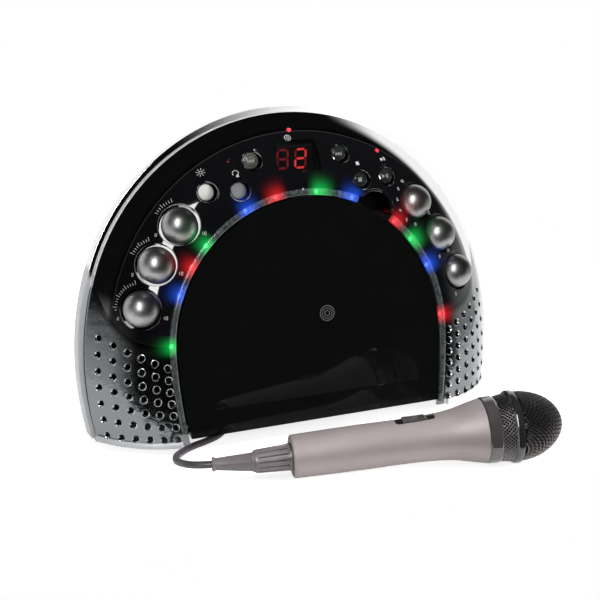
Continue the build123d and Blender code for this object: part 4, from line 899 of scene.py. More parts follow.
# ================= fascia =================
class KARAOKE_OT_fascia(bpy.types.Operator):
    """Build the domed fascia with its recesses, grille fans, flange and lip"""

    bl_idname = "karaoke.fascia"
    bl_label = "Fascia"

    def execute(self, context):
        sizes = context.scene.karaoke_sizes
        skin = Skin()
        build_dome(skin, sizes.rim_radius / MM)
        build_flange(skin)
        skin.thicken(sizes.fascia_wall / MM)
        build_lip(skin, sizes.lip_reach / MM)
        fascia = skin.object("fascia_shell", fascia_black(), share=True)
        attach(fascia, "housing")
        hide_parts("front_fascia")
        return {"FINISHED"}


def grille_places():
    """The grille holes of both lobes, as (x, w)."""
    places = []
    for column in range(GRILLE_COLUMNS):
        share = GRILLE_SHARES[0] + GRILLE_SHARES[1] * column
        centre, top, turn, side_x, side_w, side = arch(share)
        for row in range(GRILLE_ROWS):
            rise = (GRILLE_RISE + GRILLE_RISE_STEP * column) * row / (GRILLE_ROWS - 1)
            w = (GRILLE_FOOT + rise - FACE_ORIGIN.z - dome_height(share) * SIN) / COS
            angle = math.asin((w - side_w) / side)
            x = side_x + side * math.cos(angle) if angle < turn else math.sqrt(top ** 2 - (w - centre) ** 2)
            places += [(x, w), (-x, w)]
    return places


def opening_edge():
    """The edge of the door opening with the thumb notch let into it, and the notch's own part of it."""
    radius = INNER_R - OPENING_INSET
    spread = math.acos((radius ** 2 - INNER_R ** 2 - NOTCH_R ** 2) / (2 * INNER_R * NOTCH_R))
    arms = [polar(NOTCH_R, NOTCH_ANGLE + spread * i / 12) for i in range(-12, 13)]
    notch = [(NOTCH_AT[0] + a, NOTCH_AT[1] + b) for a, b in arms]
    points = []
    for x, w in outline(0.0, DOME_RISE, OPENING_INSET):
        if not near_notch(x, w, 0.5):
            points.append((x, w))
        elif notch[0] not in points:
            points += notch
    return points, notch


def build_dome(skin, rim_radius):
    """The domed skin between the door opening and the rim, with a loop round each recess and hole."""
    outer = outline(RIM_SHARE, dome_height(RIM_SHARE))
    inner, notch = opening_edge()
    loops = []

    def sink(place, count, radius, lip, depth, hole):
        ring = laid(place, circle(count, radius + lip))
        origin, _, _, normal = dome_axes(*place)
        loops.append(flattened(ring))
        round_down(skin, origin, normal, ring, radius, lip, depth, hole)

    for place in KNOBS.values():
        sink(place, 56, KNOB_RECESS_R, KNOB_LIP, KNOB_FLOOR, BUSHING_R)
    for x, w in BUTTONS.values():
        loops.append([(x + a, w + b) for a, b in circle(36, BUTTON_RECESS_R + BUTTON_LIP)])
        floor = on_face(x, w, dome_n(x, w) - BUTTON_SINK - BUTTON_FLOOR)
        round_down(skin, floor, OUT, over_dome(loops[-1]), BUTTON_RECESS_R, BUTTON_LIP, 0.0, BUTTON_R + 0.2)
    for place in STATUS_LAMPS:
        sink(place, 20, STATUS_R, STATUS_LIP, STATUS_FLOOR, STATUS_HOLE)
    window = rounded_window()
    loops.append(window)
    ring = over_dome(window)
    inward = [in_face(WINDOW_AT[0] - x, WINDOW_AT[1] - w) for x, w in window]
    skin.strip(ring, [point - OUT * WINDOW_WALL for point in ring], inward, inward, closed=True)
    loops += [flattened(laid(place, circle(16, rim_radius - 0.05))) for place in grille_places()]
    fill_dome(skin, outer + inner[::-1], loops)
    # the notch's wall and floor
    foot = [on_face(x, w, NOTCH_N) for x, w in notch]
    toward = [in_face(NOTCH_AT[0] - x, NOTCH_AT[1] - w) for x, w in notch]
    skin.strip(over_dome(notch), foot, toward, toward)
    middle = on_face(*NOTCH_AT, NOTCH_N)
    for a, b in zip(foot, foot[1:]):
        skin.face([a, b, middle], [OUT] * 3)


def rounded_window(grow=0.0):
    """The window's edge with small round corners, as (x, w)."""
    reach_x, reach_w = (size / 2 + grow - WINDOW_CORNER for size in WINDOW_SIZE)
    points = []
    for quarter, (sx, sw) in enumerate(((1, 1), (-1, 1), (-1, -1), (1, -1))):
        for i in range(5):
            a, b = polar(WINDOW_CORNER, math.pi / 2 * (quarter + i / 4))
            points.append((WINDOW_AT[0] + sx * reach_x + a, WINDOW_AT[1] + sw * reach_w + b))
    full = []
    for (x1, w1), (x2, w2) in pairs(points):
        cuts = max(1, int(math.hypot(x2 - x1, w2 - w1) / 2.5))
        full += [(x1 + (x2 - x1) * i / cuts, w1 + (w2 - w1) * i / cuts) for i in range(cuts)]
    return full


def round_down(skin, origin, axis, ring, wall_radius, lip, depth, hole_radius):
    """A rounded lip from a ring on the dome down into a round recess with a flat floor and a hole."""
    arms = []
    for point in ring:
        arm = point - origin
        arms.append((arm - axis * arm.dot(axis)).normalized())
    ups = [dome_normal(*place) for place in flattened(ring)]
    rows = []
    for i in range(5):
        turn = math.pi / 2 * i / 4
        row, normals = [], []
        for point, arm, up in zip(ring, arms, ups):
            slide = -arm - up * (-arm).dot(up)
            slide /= max(0.2, slide.dot(-arm))
            row.append(point + slide * (lip * math.sin(turn)) - axis * (lip * (1 - math.cos(turn))))
            normals.append((up * math.cos(turn) - arm * math.sin(turn)).normalized())
        rows.append((row, normals))
    foot, hole = ([origin + arm * radius - axis * depth for arm in arms] for radius in (wall_radius, hole_radius))
    rows.append((foot, [-arm for arm in arms]))
    for (row, normals), (after, after_normals) in zip(rows, rows[1:]):
        skin.strip(row, after, normals, after_normals, closed=True)
    level = [axis] * len(ring)
    skin.strip(foot, hole, level, level, closed=True)


def fill_dome(skin, border, loops, rows=22, margin=1.2):
    """Triangles over the dome between its border and the loops in it."""
    points, edges = [], []
    for loop in [border] + loops:
        start = len(points)
        points += loop
        edges += [(start + i, start + (i + 1) % len(loop)) for i in range(len(loop))]
    boxes = [(min(x for x, _ in loop) - margin, max(x for x, _ in loop) + margin,
              min(w for _, w in loop) - margin, max(w for _, w in loop) + margin) for loop in loops]

    def taken(x, w, gap):
        """Whether a flat point lies in a loop or within the gap of its points."""
        near = [loop for loop, box in zip(loops, boxes) if box[0] < x < box[1] and box[2] < w < box[3]]
        return any(inside((x, w), loop) or any(math.hypot(x - a, w - b) < gap for a, b in loop) for loop in near)

    for k in range(1, rows):
        share = LIP_SHARE + (RIM_SHARE - LIP_SHARE) * k / rows
        row = outline(share, dome_height(share), side_steps=26, top_steps=46)[1:-1]
        points += [(x, w) for x, w in row if not near_notch(x, w, 1.5) and not taken(x, w, 1.0)]
    found, _, faces, _, _, _ = delaunay_2d_cdt([Vector(point) for point in points], edges, [], 0, 1e-5, True)
    places = over_dome(found)
    normals = [dome_normal(x, w) for x, w in found]
    for face in faces:
        middle = sum((found[i] for i in face), Vector((0, 0))) / len(face)
        if inside(middle, border) and not taken(*middle, 0.0):
            skin.face([places[i] for i in face], [normals[i] for i in face])


def build_flange(skin):
    """The rounded edge of the dome, the step at the rim, the flat flange outside it and the skirt behind."""

    def row(share, n, inset=0.0):
        flat = outline(share, n, inset)
        return [on_face(x, w, n) for x, w in flat], flat

    def sweep(row, normals, rows):
        """Strips from a row through more rows with their normals; gives the last of them."""
        for after, after_normals in rows:
            skin.strip(row, after, normals, after_normals)
            row, normals = after, after_normals
        return row

    edge, flat = row(RIM_SHARE, dome_height(RIM_SHARE))
    side = [outward(flat, k) for k in range(len(flat))]
    normals = [dome_normal(x, w) for x, w in flat]
    bevel = []
    for k in range(1, 6):
        leaning = [normal.lerp(arm, k / 5).normalized() for normal, arm in zip(normals, side)]
        bevel.append(([place + (lean - normal) * EDGE_ROUND for place, normal, lean in zip(edge, normals, leaning)],
                      leaning))
    rounded = sweep(edge, normals, bevel)
    step, _ = row(RIM_SHARE, FLANGE_N)
    skin.strip(rounded, step, side, side)
    brim, brim_flat = row(1.0, FLANGE_N, BRIM_ROUND)
    level = [OUT] * len(step)
    skin.strip(step, brim, level, level)
    arms = [outward(brim_flat, k) for k in range(len(brim_flat))]
    turning = []
    for k in range(1, 4):
        a, b = polar(1.0, math.pi / 2 * k / 3)
        turning.append((row(1.0, FLANGE_N - BRIM_ROUND * (1 - a), BRIM_ROUND * (1 - b))[0],
                        [(OUT * a + arm * b).normalized() for arm in arms]))
    turning.append((row(1.0, -SKIRT)[0], arms))
    sweep(brim, level, turning)


def build_lip(skin, reach):
    """The ledge along the foot of each lobe, the plate that closes the foot and a small wall inside it."""
    upright = Vector((0, 0, 1))
    shares = [LIP_SHARE + (RIM_SHARE - LIP_SHARE) * i / 28 for i in range(29)]
    for side in (1, -1):
        mirror = Vector((side, 1, 1))
        sections, section_normals, back_row = [], [], []
        for share in shares:
            n = dome_height(share)
            x, w = outline(share, n)[0]
            normal = dome_normal(x, w)
            low = on_face(x, w, n)
            _, _, _, side_x, side_w, side_r = arch(share)
            w_up = (LIP_HEIGHT - n * SIN) / COS
            high = on_face(side_x + side_r * math.cos(math.asin((w_up - side_w) / side_r)), w_up, n)
            flat = Vector((normal.x, normal.y, 0)).normalized()
            corners = [high, high + flat * (reach - LIP_ROUND), high + flat * reach - upright * LIP_ROUND,
                       low + flat * reach]
            normals = [upright, (flat * LIP_TILT + upright).normalized(), (flat + upright * LIP_TILT).normalized(),
                       flat]
            sections.append([corner * mirror for corner in corners + [low]])
            section_normals.append([normal * mirror for normal in normals])
            back_row.append((low + Vector((0, (SKIRT + n) * COS + FOOT_PLATE, 0))) * mirror)
        for first, second, first_n, second_n in zip(sections, sections[1:], section_normals, section_normals[1:]):
            skin.strip(first[:4], second[:4], first_n, second_n)
        for ends in (sections[0], sections[-1]):
            skin.face(ends)
        n = dome_height(shares[0])
        x, w = outline(shares[0], n)[0]
        wall = [on_face(x, w, n - WALL_FRONT), on_face(x, w + WALL_RISE, n - WALL_FRONT - 0.5),
                on_face(x, w + WALL_RISE, n - WALL_BACK), on_face(x, w, n - WALL_BACK)]
        skin.face([corner * mirror for corner in wall], [ACROSS * side] * 4)
        down = [-upright] * len(shares)
        skin.strip([section[3] for section in sections], back_row, down, down)


# ================= grille rims =================
class KARAOKE_OT_grille(bpy.types.Operator):
    """Set a bevelled rim into every grille hole"""

    bl_idname = "karaoke.grille"
    bl_label = "Grille rims"

    def execute(self, context):
        sizes = context.scene.karaoke_sizes
        cloud = bpy.data.meshes.new("grille_rims")
        frames = [dome_axes(*place) for place in grille_places()]
        cloud.from_pydata([origin * MM for origin, _, _, _ in frames], [], [])
        facing = cloud.attributes.new("facing", "FLOAT_VECTOR", "POINT")
        facing.data.foreach_set("vector", [value for _, _, _, normal in frames for value in normal])
        rims = linked("grille_rims", cloud)
        finish = grained("rim_bright", (0.42, 0.43, 0.44), 0.16, metallic=1.0, scale=1500, depth=0.02)
        rim, hole = sizes.rim_radius / MM, sizes.hole_radius / MM
        profile = [(0.06, rim + 0.12), (0.1, rim - 0.1), (-0.25, hole + 0.35), (-0.8, hole), (-2.3, hole),
                   (-2.3, hole + 0.4), (-0.9, hole + 0.5), (0.06, rim + 0.12)]
        pattern = turned("rim_pattern", profile, Vector(), Vector((0, 0, 1)), ACROSS, finish, 20)
        grown(rims, rim_tree(), Pattern=pattern, Finish=finish)
        bpy.data.objects.remove(pattern)
        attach(rims, "housing")
        return {"FINISHED"}


def geometry_tree(name, **inputs):
    """A tree that takes geometry and inputs of the types given, and gives geometry."""
    shape = {"Geometry": ("Geometry", None)}
    more = {label: (socket_type, None) for label, socket_type in inputs.items()}
    return new_tree(name, "GeometryNodeTree", {**shape, **more}, shape)


def give(tree, geometry, finish, result):
    """Ends a tree with its copies made real and given their finish."""
    real = put(tree, "GeometryNodeRealizeInstances", (geometry,)).outputs[0]
    shown = put(tree, "GeometryNodeSetMaterial", {"Geometry": real, "Material": finish}).outputs[0]
    fill(result, {"Geometry": shown})


def rim_tree():
    """Instances the rim pattern on each point, turned to face out of the dome."""
    tree, given, result = geometry_tree("grille_rim_fan", Pattern="Object", Finish="Material")
    facing = put(tree, "GeometryNodeInputNamedAttribute", {"Name": "facing"}, data_type="FLOAT_VECTOR")
    turn = put(tree, "FunctionNodeAlignRotationToVector", {"Vector": facing.outputs["Attribute"]}, axis="Z")
    pattern = put(tree, "GeometryNodeObjectInfo", {"Object": given["Pattern"]})
    points = put(tree, "GeometryNodeMeshToPoints", {"Mesh": given["Geometry"]})
    copies = put(tree, "GeometryNodeInstanceOnPoints", {"Points": points.outputs["Points"],
                                                        "Instance": pattern.outputs["Geometry"],
                                                        "Rotation": turn.outputs["Rotation"]})
    give(tree, copies.outputs["Instances"], given["Finish"], result)
    return tree


def wire_tree():
    """Gives each line a thin round section."""
    tree, given, result = geometry_tree("woven_wire", Radius="Float", Finish="Material")
    lines = put(tree, "GeometryNodeMeshToCurve", {"Mesh": given["Geometry"]})
    section = put(tree, "GeometryNodeCurvePrimitiveCircle", {"Resolution": 5, "Radius": given["Radius"]})
    tube = put(tree, "GeometryNodeCurveToMesh", {"Curve": lines.outputs["Curve"],
                                                 "Profile Curve": section.outputs["Curve"]})
    give(tree, tube.outputs["Mesh"], given["Finish"], result)
    return tree


# ================= light ring and lamps =================
class KARAOKE_OT_light_ring(bpy.types.Operator):
    """Build the clear ring round the door and the lamps under it"""

    bl_idname = "karaoke.light_ring"
    bl_label = "Light ring"

    def execute(self, context):
        skin = Skin()
        section = ring_section()
        rows = [outline(0.0, RING_LEVELS[1], inset, 48, 96) for inset, _, _ in section]
        for run in ring_runs():
            for a, b in zip(run, run[1:]):
                for k, j in pairs(list(range(len(section)))):
                    ends = ((k, a), (k, b), (j, b), (j, a))
                    skin.face([on_face(*rows[m][at], section[m][1]) for m, at in ends],
                              [ring_lean(rows[0], at, section[m][2]) for m, at in ends])
            for end in (run[0], run[-1]):
                skin.face([on_face(*row[end], n) for row, (_, n, _) in zip(rows, section)])
        ring = skin.object("light_strip", ring_clear())
        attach(ring, "housing")
        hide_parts("light_ring")
        self.lamps()
        return {"FINISHED"}

    def lamps(self):
        finishes = {name: glowing(name + "_lamp", chosen(name + "_lamp"), 6.0) for name in ("red", "green", "blue")}
        profile = [(0, 0), (0, RING_LAMP_R), (RING_LAMP_SIDE, RING_LAMP_R)]
        profile += quarter_round(RING_LAMP_SIDE, RING_LAMP_DOME, RING_LAMP_R, 5)
        parts = []
        for angle, name in RING_LAMPS:
            a, b = polar(RING_MID_R, math.radians(angle))
            origin = on_face(a, INNER_W + b, RING_LEVELS[0] - RING_LAMP_SINK)
            parts.append(turned("ring_lamp", profile, origin, OUT, ACROSS, finishes[name], 16))
        lamps = joined("ring_lamp_set", parts)
        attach(lamps, "housing")
        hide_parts("ring_leds")


def ring_runs():
    """The places along the strip, as one run of indices on each side of the thumb notch."""
    runs, run = [], []
    for k, (x, w) in enumerate(outline(0.0, RING_LEVELS[1], 0.0, 48, 96)):
        if near_notch(x, w, 1.6):
            if run:
                runs.append(run)
            run = []
        else:
            run.append(k)
    return runs + [run]


def ring_section():
    """The strip's cross-section as (inset, n, lean): a flat-sided bar with a rounded top."""
    low, high = RING_LEVELS
    inner, outer = RING_INSETS
    middle, half, shoulder = (inner + outer) / 2, (inner - outer) / 2, high - RING_ROUND
    section = [(inner, low, (1, -0.2)), (inner, shoulder, (1, 0))]
    for i in range(1, 8):
        a, b = polar(1.0, math.pi * i / 8)
        section.append((middle + half * a, shoulder + RING_ROUND * b, (a, b * RING_ROUND)))
    return section + [(outer, shoulder, (-1, 0)), (outer, low, (-1, -0.2))]


def ring_lean(row, k, lean):
    """The normal at a place on the strip, from how far it leans in and out."""
    return (outward(row, k) * -lean[0] + OUT * lean[1]).normalized()


# ================= knobs and buttons =================
class KARAOKE_OT_knobs(bpy.types.Operator):
    """Build the domed knobs"""

    bl_idname = "karaoke.knobs"
    bl_label = "Knobs"

    def execute(self, context):
        finish = grained("knob_satin", (0.38, 0.38, 0.375), 0.37, metallic=1.0, scale=1800, depth=0.05, spread=0.16)
        tree = finish.node_tree
        lit_by_lamps(tree.nodes["Principled BSDF"], object_place(tree), 0.0125, 0.32)
        foot = -4.0
        profile = [(1.0, 0.0), (1.0, 7.4), (foot, 7.5), (foot, KNOB_R - 0.5), (foot + 0.5, KNOB_R),
                   (-KNOB_SINK, KNOB_R)] + quarter_round(-KNOB_SINK, KNOB_R, KNOB_R, 20)
        for name, place in KNOBS.items():
            knob = turned_on_dome(name.replace("_knob", "_dome"), profile, place, finish, 72)
            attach(knob, name)
            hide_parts(name)
        return {"FINISHED"}


class KARAOKE_OT_buttons(bpy.types.Operator):
    """Build the round buttons with their raised signs, and the bezels round them"""

    bl_idname = "karaoke.buttons"
    bl_label = "Buttons"

    def execute(self, context):
        pale = grained("button_pale", (0.68, 0.68, 0.65), 0.4, scale=1200, depth=0.03, coat=0.2)
        # the repeat button is the pale button's plastic made a darker grey: painted shade
        grey = grained("button_mid", (0.24, 0.245, 0.25), 0.36, scale=1200, depth=0.03, coat=0.3)
        horn = grained("button_horn", (0.1, 0.1, 0.085), 0.16, scale=1200, depth=0.03, coat=1.0)
        smoke = grained("button_smoke", (0.02, 0.024, 0.022), 0.08, scale=1200, depth=0.02, coat=1.0)
        finishes = {"light_button": pale, "repeat_button": grey, "previous_button": horn}
        relief = grained("button_relief", (0.3, 0.3, 0.27), 0.25, scale=1200, depth=0.02, coat=0.6)
        bezel = grained("bezel_bright", (0.5, 0.5, 0.5), 0.14, metallic=1.0, scale=1500, depth=0.02)
        ring = [(rise, BUTTON_RECESS_R + reach) for rise, reach in
                ((-0.9, 0.0), (0.1, 0.0), (0.28, 0.12), (0.1, 0.3), (-0.9, 0.3), (-0.9, 0.0))]
        bezels = []
        for name, (x, w) in BUTTONS.items():
            face = dome_n(x, w) - BUTTON_SINK
            clear = name not in ("light_button", "repeat_button")
            cap = turned(name + "_cap", cap_profile(node_span(name, OUT)[0] - face, clear), on_face(x, w, face), OUT,
                         ACROSS, finishes.get(name, smoke), 48)
            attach(cap, name)
            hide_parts(name)
            if clear:
                skin = Skin()
                for corners in button_sign(name):
                    raise_block(skin, [(x + a, w + b) for a, b in corners], face - 0.2, face + 0.12)
                sign = skin.object(name + "_sign", relief)
                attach(sign, name)
            bezels.append(turned_on_dome("bezel", ring, (x, w), bezel, 48, -0.1))
        bezels += [notch_rim(NOTCH_R + gap, bezel) for gap in (0.25, 1.6)]
        rings = joined("button_bezels", bezels)
        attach(rings, "housing")
        return {"FINISHED"}


def cap_profile(low, clear):
    """A button from its stem's foot to its face; a clear one has a groove round its middle."""
    stem = [(low, 0.0), (low, 2.2), (-4.4, 2.2), (-4.4, 5.9), (-3.5, 5.9), (-3.5, BUTTON_R), (-0.6, BUTTON_R)]
    edge = [(-0.25, 0.1), (-0.05, 0.4), (0.0, 0.8)]
    groove = [(-0.05, 1.1), (-0.35, 1.35), (-0.35, 1.7), (-0.1, 2.1)] if clear else []
    return stem + [(along, BUTTON_R - inset) for along, inset in edge + groove] + [(0.0, 2.0), (0.0, 0.0)]


def notch_rim(radius, finish):
    """A thin bead on the fascia round the finger notch, open where the ring passes."""
    skin = Skin()
    section = ((0.0, -0.4), (0.0, 0.1), (0.15, 0.22), (0.35, 0.1), (0.35, -0.4))
    leans = (-1, -1, 1, 1)
    rows = []
    for i in range(180):
        turn = math.radians(180 + 2 * i)
        a, b = polar(1.0, turn)
        if math.hypot(NOTCH_AT[0] + radius * a, NOTCH_AT[1] + radius * b - INNER_W) > INNER_R + 5.0:
            bead = [(NOTCH_AT[0] + (radius + reach) * a, NOTCH_AT[1] + (radius + reach) * b, rise)
                    for reach, rise in section]
            rows.append((in_face(a, b), [on_face(x, w, dome_n(x, w) + rise) for x, w, rise in bead]))
    for (arm, row), (_, after) in zip(rows, rows[1:]):
        for k, lean in enumerate(leans):
            skin.face([row[k], row[k + 1], after[k + 1], after[k]], [(OUT + arm * (0.6 * lean)).normalized()] * 4)
    for _, row in (rows[0], rows[-1]):
        skin.face(row)
    return skin.object("notch_rim", finish)


def button_sign(name):
    """The flat shapes of a button's sign, round its middle."""
    left = [(-1.9, 0.0), (0.0, 1.25), (0.0, -1.25)]
    right = [(-a, b) for a, b in left]

    def bar(a, width=0.55):
        return [(a, -1.25), (a + width, -1.25), (a + width, 1.25), (a, 1.25)]

    return {
        "previous_button": [bar(-2.5), left, [(a + 2.0, b) for a, b in left]],
        "next_button": [bar(1.95), right, [(a - 2.0, b) for a, b in right]],
        "stop_button": [[(-1.3, -1.3), (1.3, -1.3), (1.3, 1.3), (-1.3, 1.3)]],
        "play_button": [[(-2.2, -1.4), (0.1, 0.0), (-2.2, 1.4)], bar(0.6), bar(1.6)],
    }[name]


def raise_block(skin, corners, low, high):
    """A low block with a flat top over a flat shape on the face."""
    top, foot = ([on_face(x, w, level) for x, w in corners] for level in (high, low))
    middle = sum(top, Vector()) / len(top)
    skin.face(top, [OUT] * len(top))
    for a, b, c, d in quads(top, foot):
        skin.face([a, b, c, d], [((a + b) / 2 - middle).normalized()] * 4)
    skin.face(foot, [-OUT] * len(foot))


def node_span(name, axis):
    """How far a frame node reaches along an axis from the face's origin, in millimetres."""
    reach = [(vertex.co / MM - FACE_ORIGIN).dot(axis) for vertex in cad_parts[name].data.vertices]
    return min(reach), max(reach)


# ================= display =================
class KARAOKE_OT_display(bpy.types.Operator):
    """Build the window's pane, the digits' block behind it and the status lamps"""

    bl_idname = "karaoke.display"
    bl_label = "Display"

    def execute(self, context):
        lit = glowing("digit_lit", (1.0, 0.02, 0.03), 1.1)
        # the unlit segments glow faintly red: a painted glow
        dim = glowing("digit_dim", (0.5, 0.02, 0.03), 0.3)
        skin = Skin()
        for x, w, on in DIGITS:
            for name, corners in digit_segments().items():
                points = [on_face(x + a + b * DIGIT_LEAN, w + b, DIGITS_N + 0.1) for a, b in corners]
                skin.face(points, [OUT] * len(points), 0 if name in on else 1)
        digits = skin.object("digit_segments", lit, dim)
        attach(digits, "housing")
        self.pane()
        self.block()
        self.status_lamps()
        return {"FINISHED"}

    def pane(self):
        """A thin smoked sheet that follows the dome, with its edge closed."""
        material, tree, shader = material_base("window_smoke", (0.004, 0.003, 0.003), 0.05)
        cloud = noise_of(object_place(tree), 60.0)
        fill(shader, {"Base Color": ramp_of(cloud, (0.3, (0.003, 0.003, 0.003)), (0.7, (0.006, 0.006, 0.006))),
                      "Alpha": 0.3})
        skin = Skin()
        loop = rounded_window(-0.1)
        top, foot = (over_dome(loop, -depth) for depth in PANE_DEPTH)
        arms = [in_face(x - WINDOW_AT[0], w - WINDOW_AT[1]) for x, w in loop]
        skin.strip(top, foot, arms, arms, closed=True)
        for depth, side in zip(PANE_DEPTH, (1, -1)):
            fill_pane(skin, loop, depth, side)
        pane = skin.object("window_pane", material)
        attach(pane, "housing")
        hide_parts("display_window")

    def block(self):
        low, _ = node_span("display_module", OUT)
        left, right = node_span("display_module", ACROSS)
        foot, head = node_span("display_module", UP)
        skin = Skin()
        raise_block(skin, [(left, foot), (right, foot), (right, head), (left, head)], low, DIGITS_N)
        block = skin.object("digit_block", grained("display_black", (0.006, 0.005, 0.005), 0.5))
        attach(block, "housing")
        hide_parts("display_module")

    def status_lamps(self):
        finishes = {"lit": glowing("status_red", (1.0, 0.02, 0.05), 1.2),
                    "dark": grained("status_off", (0.05, 0.005, 0.005), 0.2)}
        profile = [(-7.0, 0.0), (-7.0, 1.3), (-0.2, 1.3)] + quarter_round(-0.2, 0.9, 1.3, 4)
        lamps = joined("status_lamp_set", [turned_on_dome("status_lamp", profile, place, finishes[state], 20)
                                           for place, state in STATUS_LAMPS.items()])
        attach(lamps, "housing")
        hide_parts("status_leds")


def fill_pane(skin, loop, depth, side):
    """A curved sheet inside the window's loop, depth under the dome."""
    half_x, half_w = (size / 2 - 1.5 for size in WINDOW_SIZE)
    grid = [(WINDOW_AT[0] + half_x * (i / 5 - 1), WINDOW_AT[1] + half_w * (j / 4 - 1))
            for i in range(11) for j in range(9)]
    edges = [(i, (i + 1) % len(loop)) for i in range(len(loop))]
    found, _, faces, _, _, _ = delaunay_2d_cdt([Vector(point) for point in loop + grid], edges, [], 1, 1e-5, True)
    places = over_dome(found, -depth)
    normals = [dome_normal(*place) * side for place in found]
    for face in faces:
        skin.face([places[i] for i in face], [normals[i] for i in face])


def digit_segments():
    """The seven bars of a digit, as flat loops round its middle."""
    half_x, half_w, bar = 3.6, 5.9, 0.7
    run, reach = half_x - bar, half_w / 2 - bar * 0.4

    def level(w):
        return [(-run, w), (bar - run, w + bar), (run - bar, w + bar), (run, w), (run - bar, w - bar),
                (bar - run, w - bar)]

    def upright(x, w):
        return [(x, w + reach), (x + bar, w + reach - bar), (x + bar, w - reach + bar), (x, w - reach),
                (x - bar, w - reach + bar), (x - bar, w + reach - bar)]

    return {"a": level(half_w), "g": level(0.0), "d": level(-half_w), "b": upright(half_x, half_w / 2),
            "c": upright(half_x, -half_w / 2), "e": upright(-half_x, -half_w / 2), "f": upright(-half_x, half_w / 2)}


# ================= printed marks =================
STROKES = {
    "0": (((0, 0), (1, 0), (1, 2), (0, 2), (0, 0)),),
    "1": (((0.5, 0), (0.5, 2)),),
    "2": (((0, 2), (1, 2), (1, 1), (0, 1), (0, 0), (1, 0)),),
    "4": (((0, 2), (0, 1), (1, 1)), ((1, 2), (1, 0))),
    "6": (((1, 2), (0, 2), (0, 0), (1, 0), (1, 1), (0, 1)),),
    "8": (((0, 0), (1, 0), (1, 2), (0, 2), (0, 0)), ((0, 1), (1, 1))),
}
TICK_ARCS = {"auto_voice_knob": (108, 152), "echo_knob": (108, 156), "mic_volume_knob": (104, 184)}


class KARAOKE_OT_marks(bpy.types.Operator):
    """Print the dial marks and button signs on the fascia"""

    bl_idname = "karaoke.marks"
    bl_label = "Printed marks"

    def execute(self, context):
        ink = grained("mark_ink", (0.5, 0.5, 0.49), 0.5, scale=2500, depth=0.02)
        skin = Skin()
        for name, (low, high) in TICK_ARCS.items():
            count = round((high - low) / 6)
            for i in range(count + 1):
                angle = math.radians(low + (high - low) * i / count)
                print_line(skin, KNOBS[name], polar(15.6, angle), polar(17.4 if i % 4 else 18.4, angle), DIAL_INK)
            print_number(skin, KNOBS[name], "0", 16.0, math.radians(204))
            print_number(skin, KNOBS[name], "10", 16.4, math.radians(-18))
        for name in ("volume_knob", "balance_knob", "music_tone_knob"):
            for i, text in enumerate(("0", "2", "4", "6", "8", "10")):
                if name == "volume_knob" or i in (0, 5):
                    print_number(skin, KNOBS[name], text, 16.4, math.radians(246 - 27 * i))
        self.signs(skin)
        marks = skin.object("printed_marks", ink)
        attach(marks, "housing")
        self.door_sign()
        return {"FINISHED"}

    def door_sign(self):
        """Three rings, for a disc, on the door's front."""
        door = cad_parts["disc_door"].data
        tree = BVHTree.FromPolygons([vertex.co for vertex in door.vertices],
                                    [tuple(face.vertices) for face in door.polygons])

        def on_door(radius):
            starts = [on_face(DOOR_SIGN_AT[0] + a, DOOR_SIGN_AT[1] + b, 80.0) * MM for a, b in circle(48, radius)]
            return [(tree.ray_cast(start, -OUT)[0] + OUT * 0.00006) / MM for start in starts]

        skin = Skin()
        for radius, width in DOOR_SIGN_RINGS:
            level = [OUT] * 48
            skin.strip(on_door(radius), on_door(radius + width), level, level, closed=True)
        sign = skin.object("door_sign", grained("sign_ink", (0.13, 0.13, 0.125), 0.5, scale=2500, depth=0.02))
        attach(sign, "door")

    def signs(self, skin):
        """A sun, a loop, a square, a play sign, a disc and a pointer."""
        for i in range(8):
            angle = math.pi / 4 * i
            print_line(skin, SUN_AT, polar(1.9, angle), polar(3.0, angle), 0.4)
        print_arc(skin, SUN_AT, 1.1, 0, 360, 0.4)
        print_arc(skin, LOOP_AT, 2.0, -60, 220, 0.42)
        print_flat(skin, LOOP_AT, [(0.2, -2.9), (2.4, -2.3), (1.0, -0.6)])
        print_flat(skin, SQUARE_AT, [(-1.2, -1.2), (1.2, -1.2), (1.2, 1.2), (-1.2, 1.2)])
        for corners in button_sign("play_button"):
            print_flat(skin, PLAY_AT, corners)
        print_arc(skin, DISC_AT, 2.1, 0, 360, 0.4)
        print_arc(skin, DISC_AT, 0.8, 0, 360, 0.35)
        print_flat(skin, POINTER_AT, [(-0.9, -0.6), (0.9, -0.6), (0.0, 0.8)])


def print_flat(skin, place, corners):
    """A flat printed shape laid on the dome round a place."""
    normal = dome_normal(*place)
    points = laid(place, corners)
    skin.face([point + normal * INK_LIFT for point in points], [dome_normal(*spot) for spot in flattened(points)])


def print_line(skin, place, start, end, width):
    """A printed stroke between two flat points round a place."""
    start, end = Vector(start), Vector(end)
    along = (end - start).normalized() * (width / 2)
    beside = Vector((along.y, -along.x))
    print_flat(skin, place, [start + beside, end + beside, end - beside, start - beside])


def print_arc(skin, place, radius, low, high, width):
    steps = max(4, round((high - low) / 30))
    points = [polar(radius, math.radians(low + (high - low) * i / steps)) for i in range(steps + 1)]
    for a, b in zip(points, points[1:]):
        print_line(skin, place, a, b, width)


def print_number(skin, place, text, reach, angle, height=1.9):
    """A number in plain strokes, standing round a knob."""
    middle = polar(reach, angle)
    scale, step = height / 2, height * 0.78
    for k, digit in enumerate(text):
        shift = middle[0] + (k - (len(text) - 1) / 2) * step - scale / 2
        for stroke in STROKES[digit]:
            for (a, b), (c, d) in zip(stroke, stroke[1:]):
                print_line(skin, place, (shift + a * scale, middle[1] + (b - 1) * scale),
                           (shift + c * scale, middle[1] + (d - 1) * scale), NUMBER_INK)


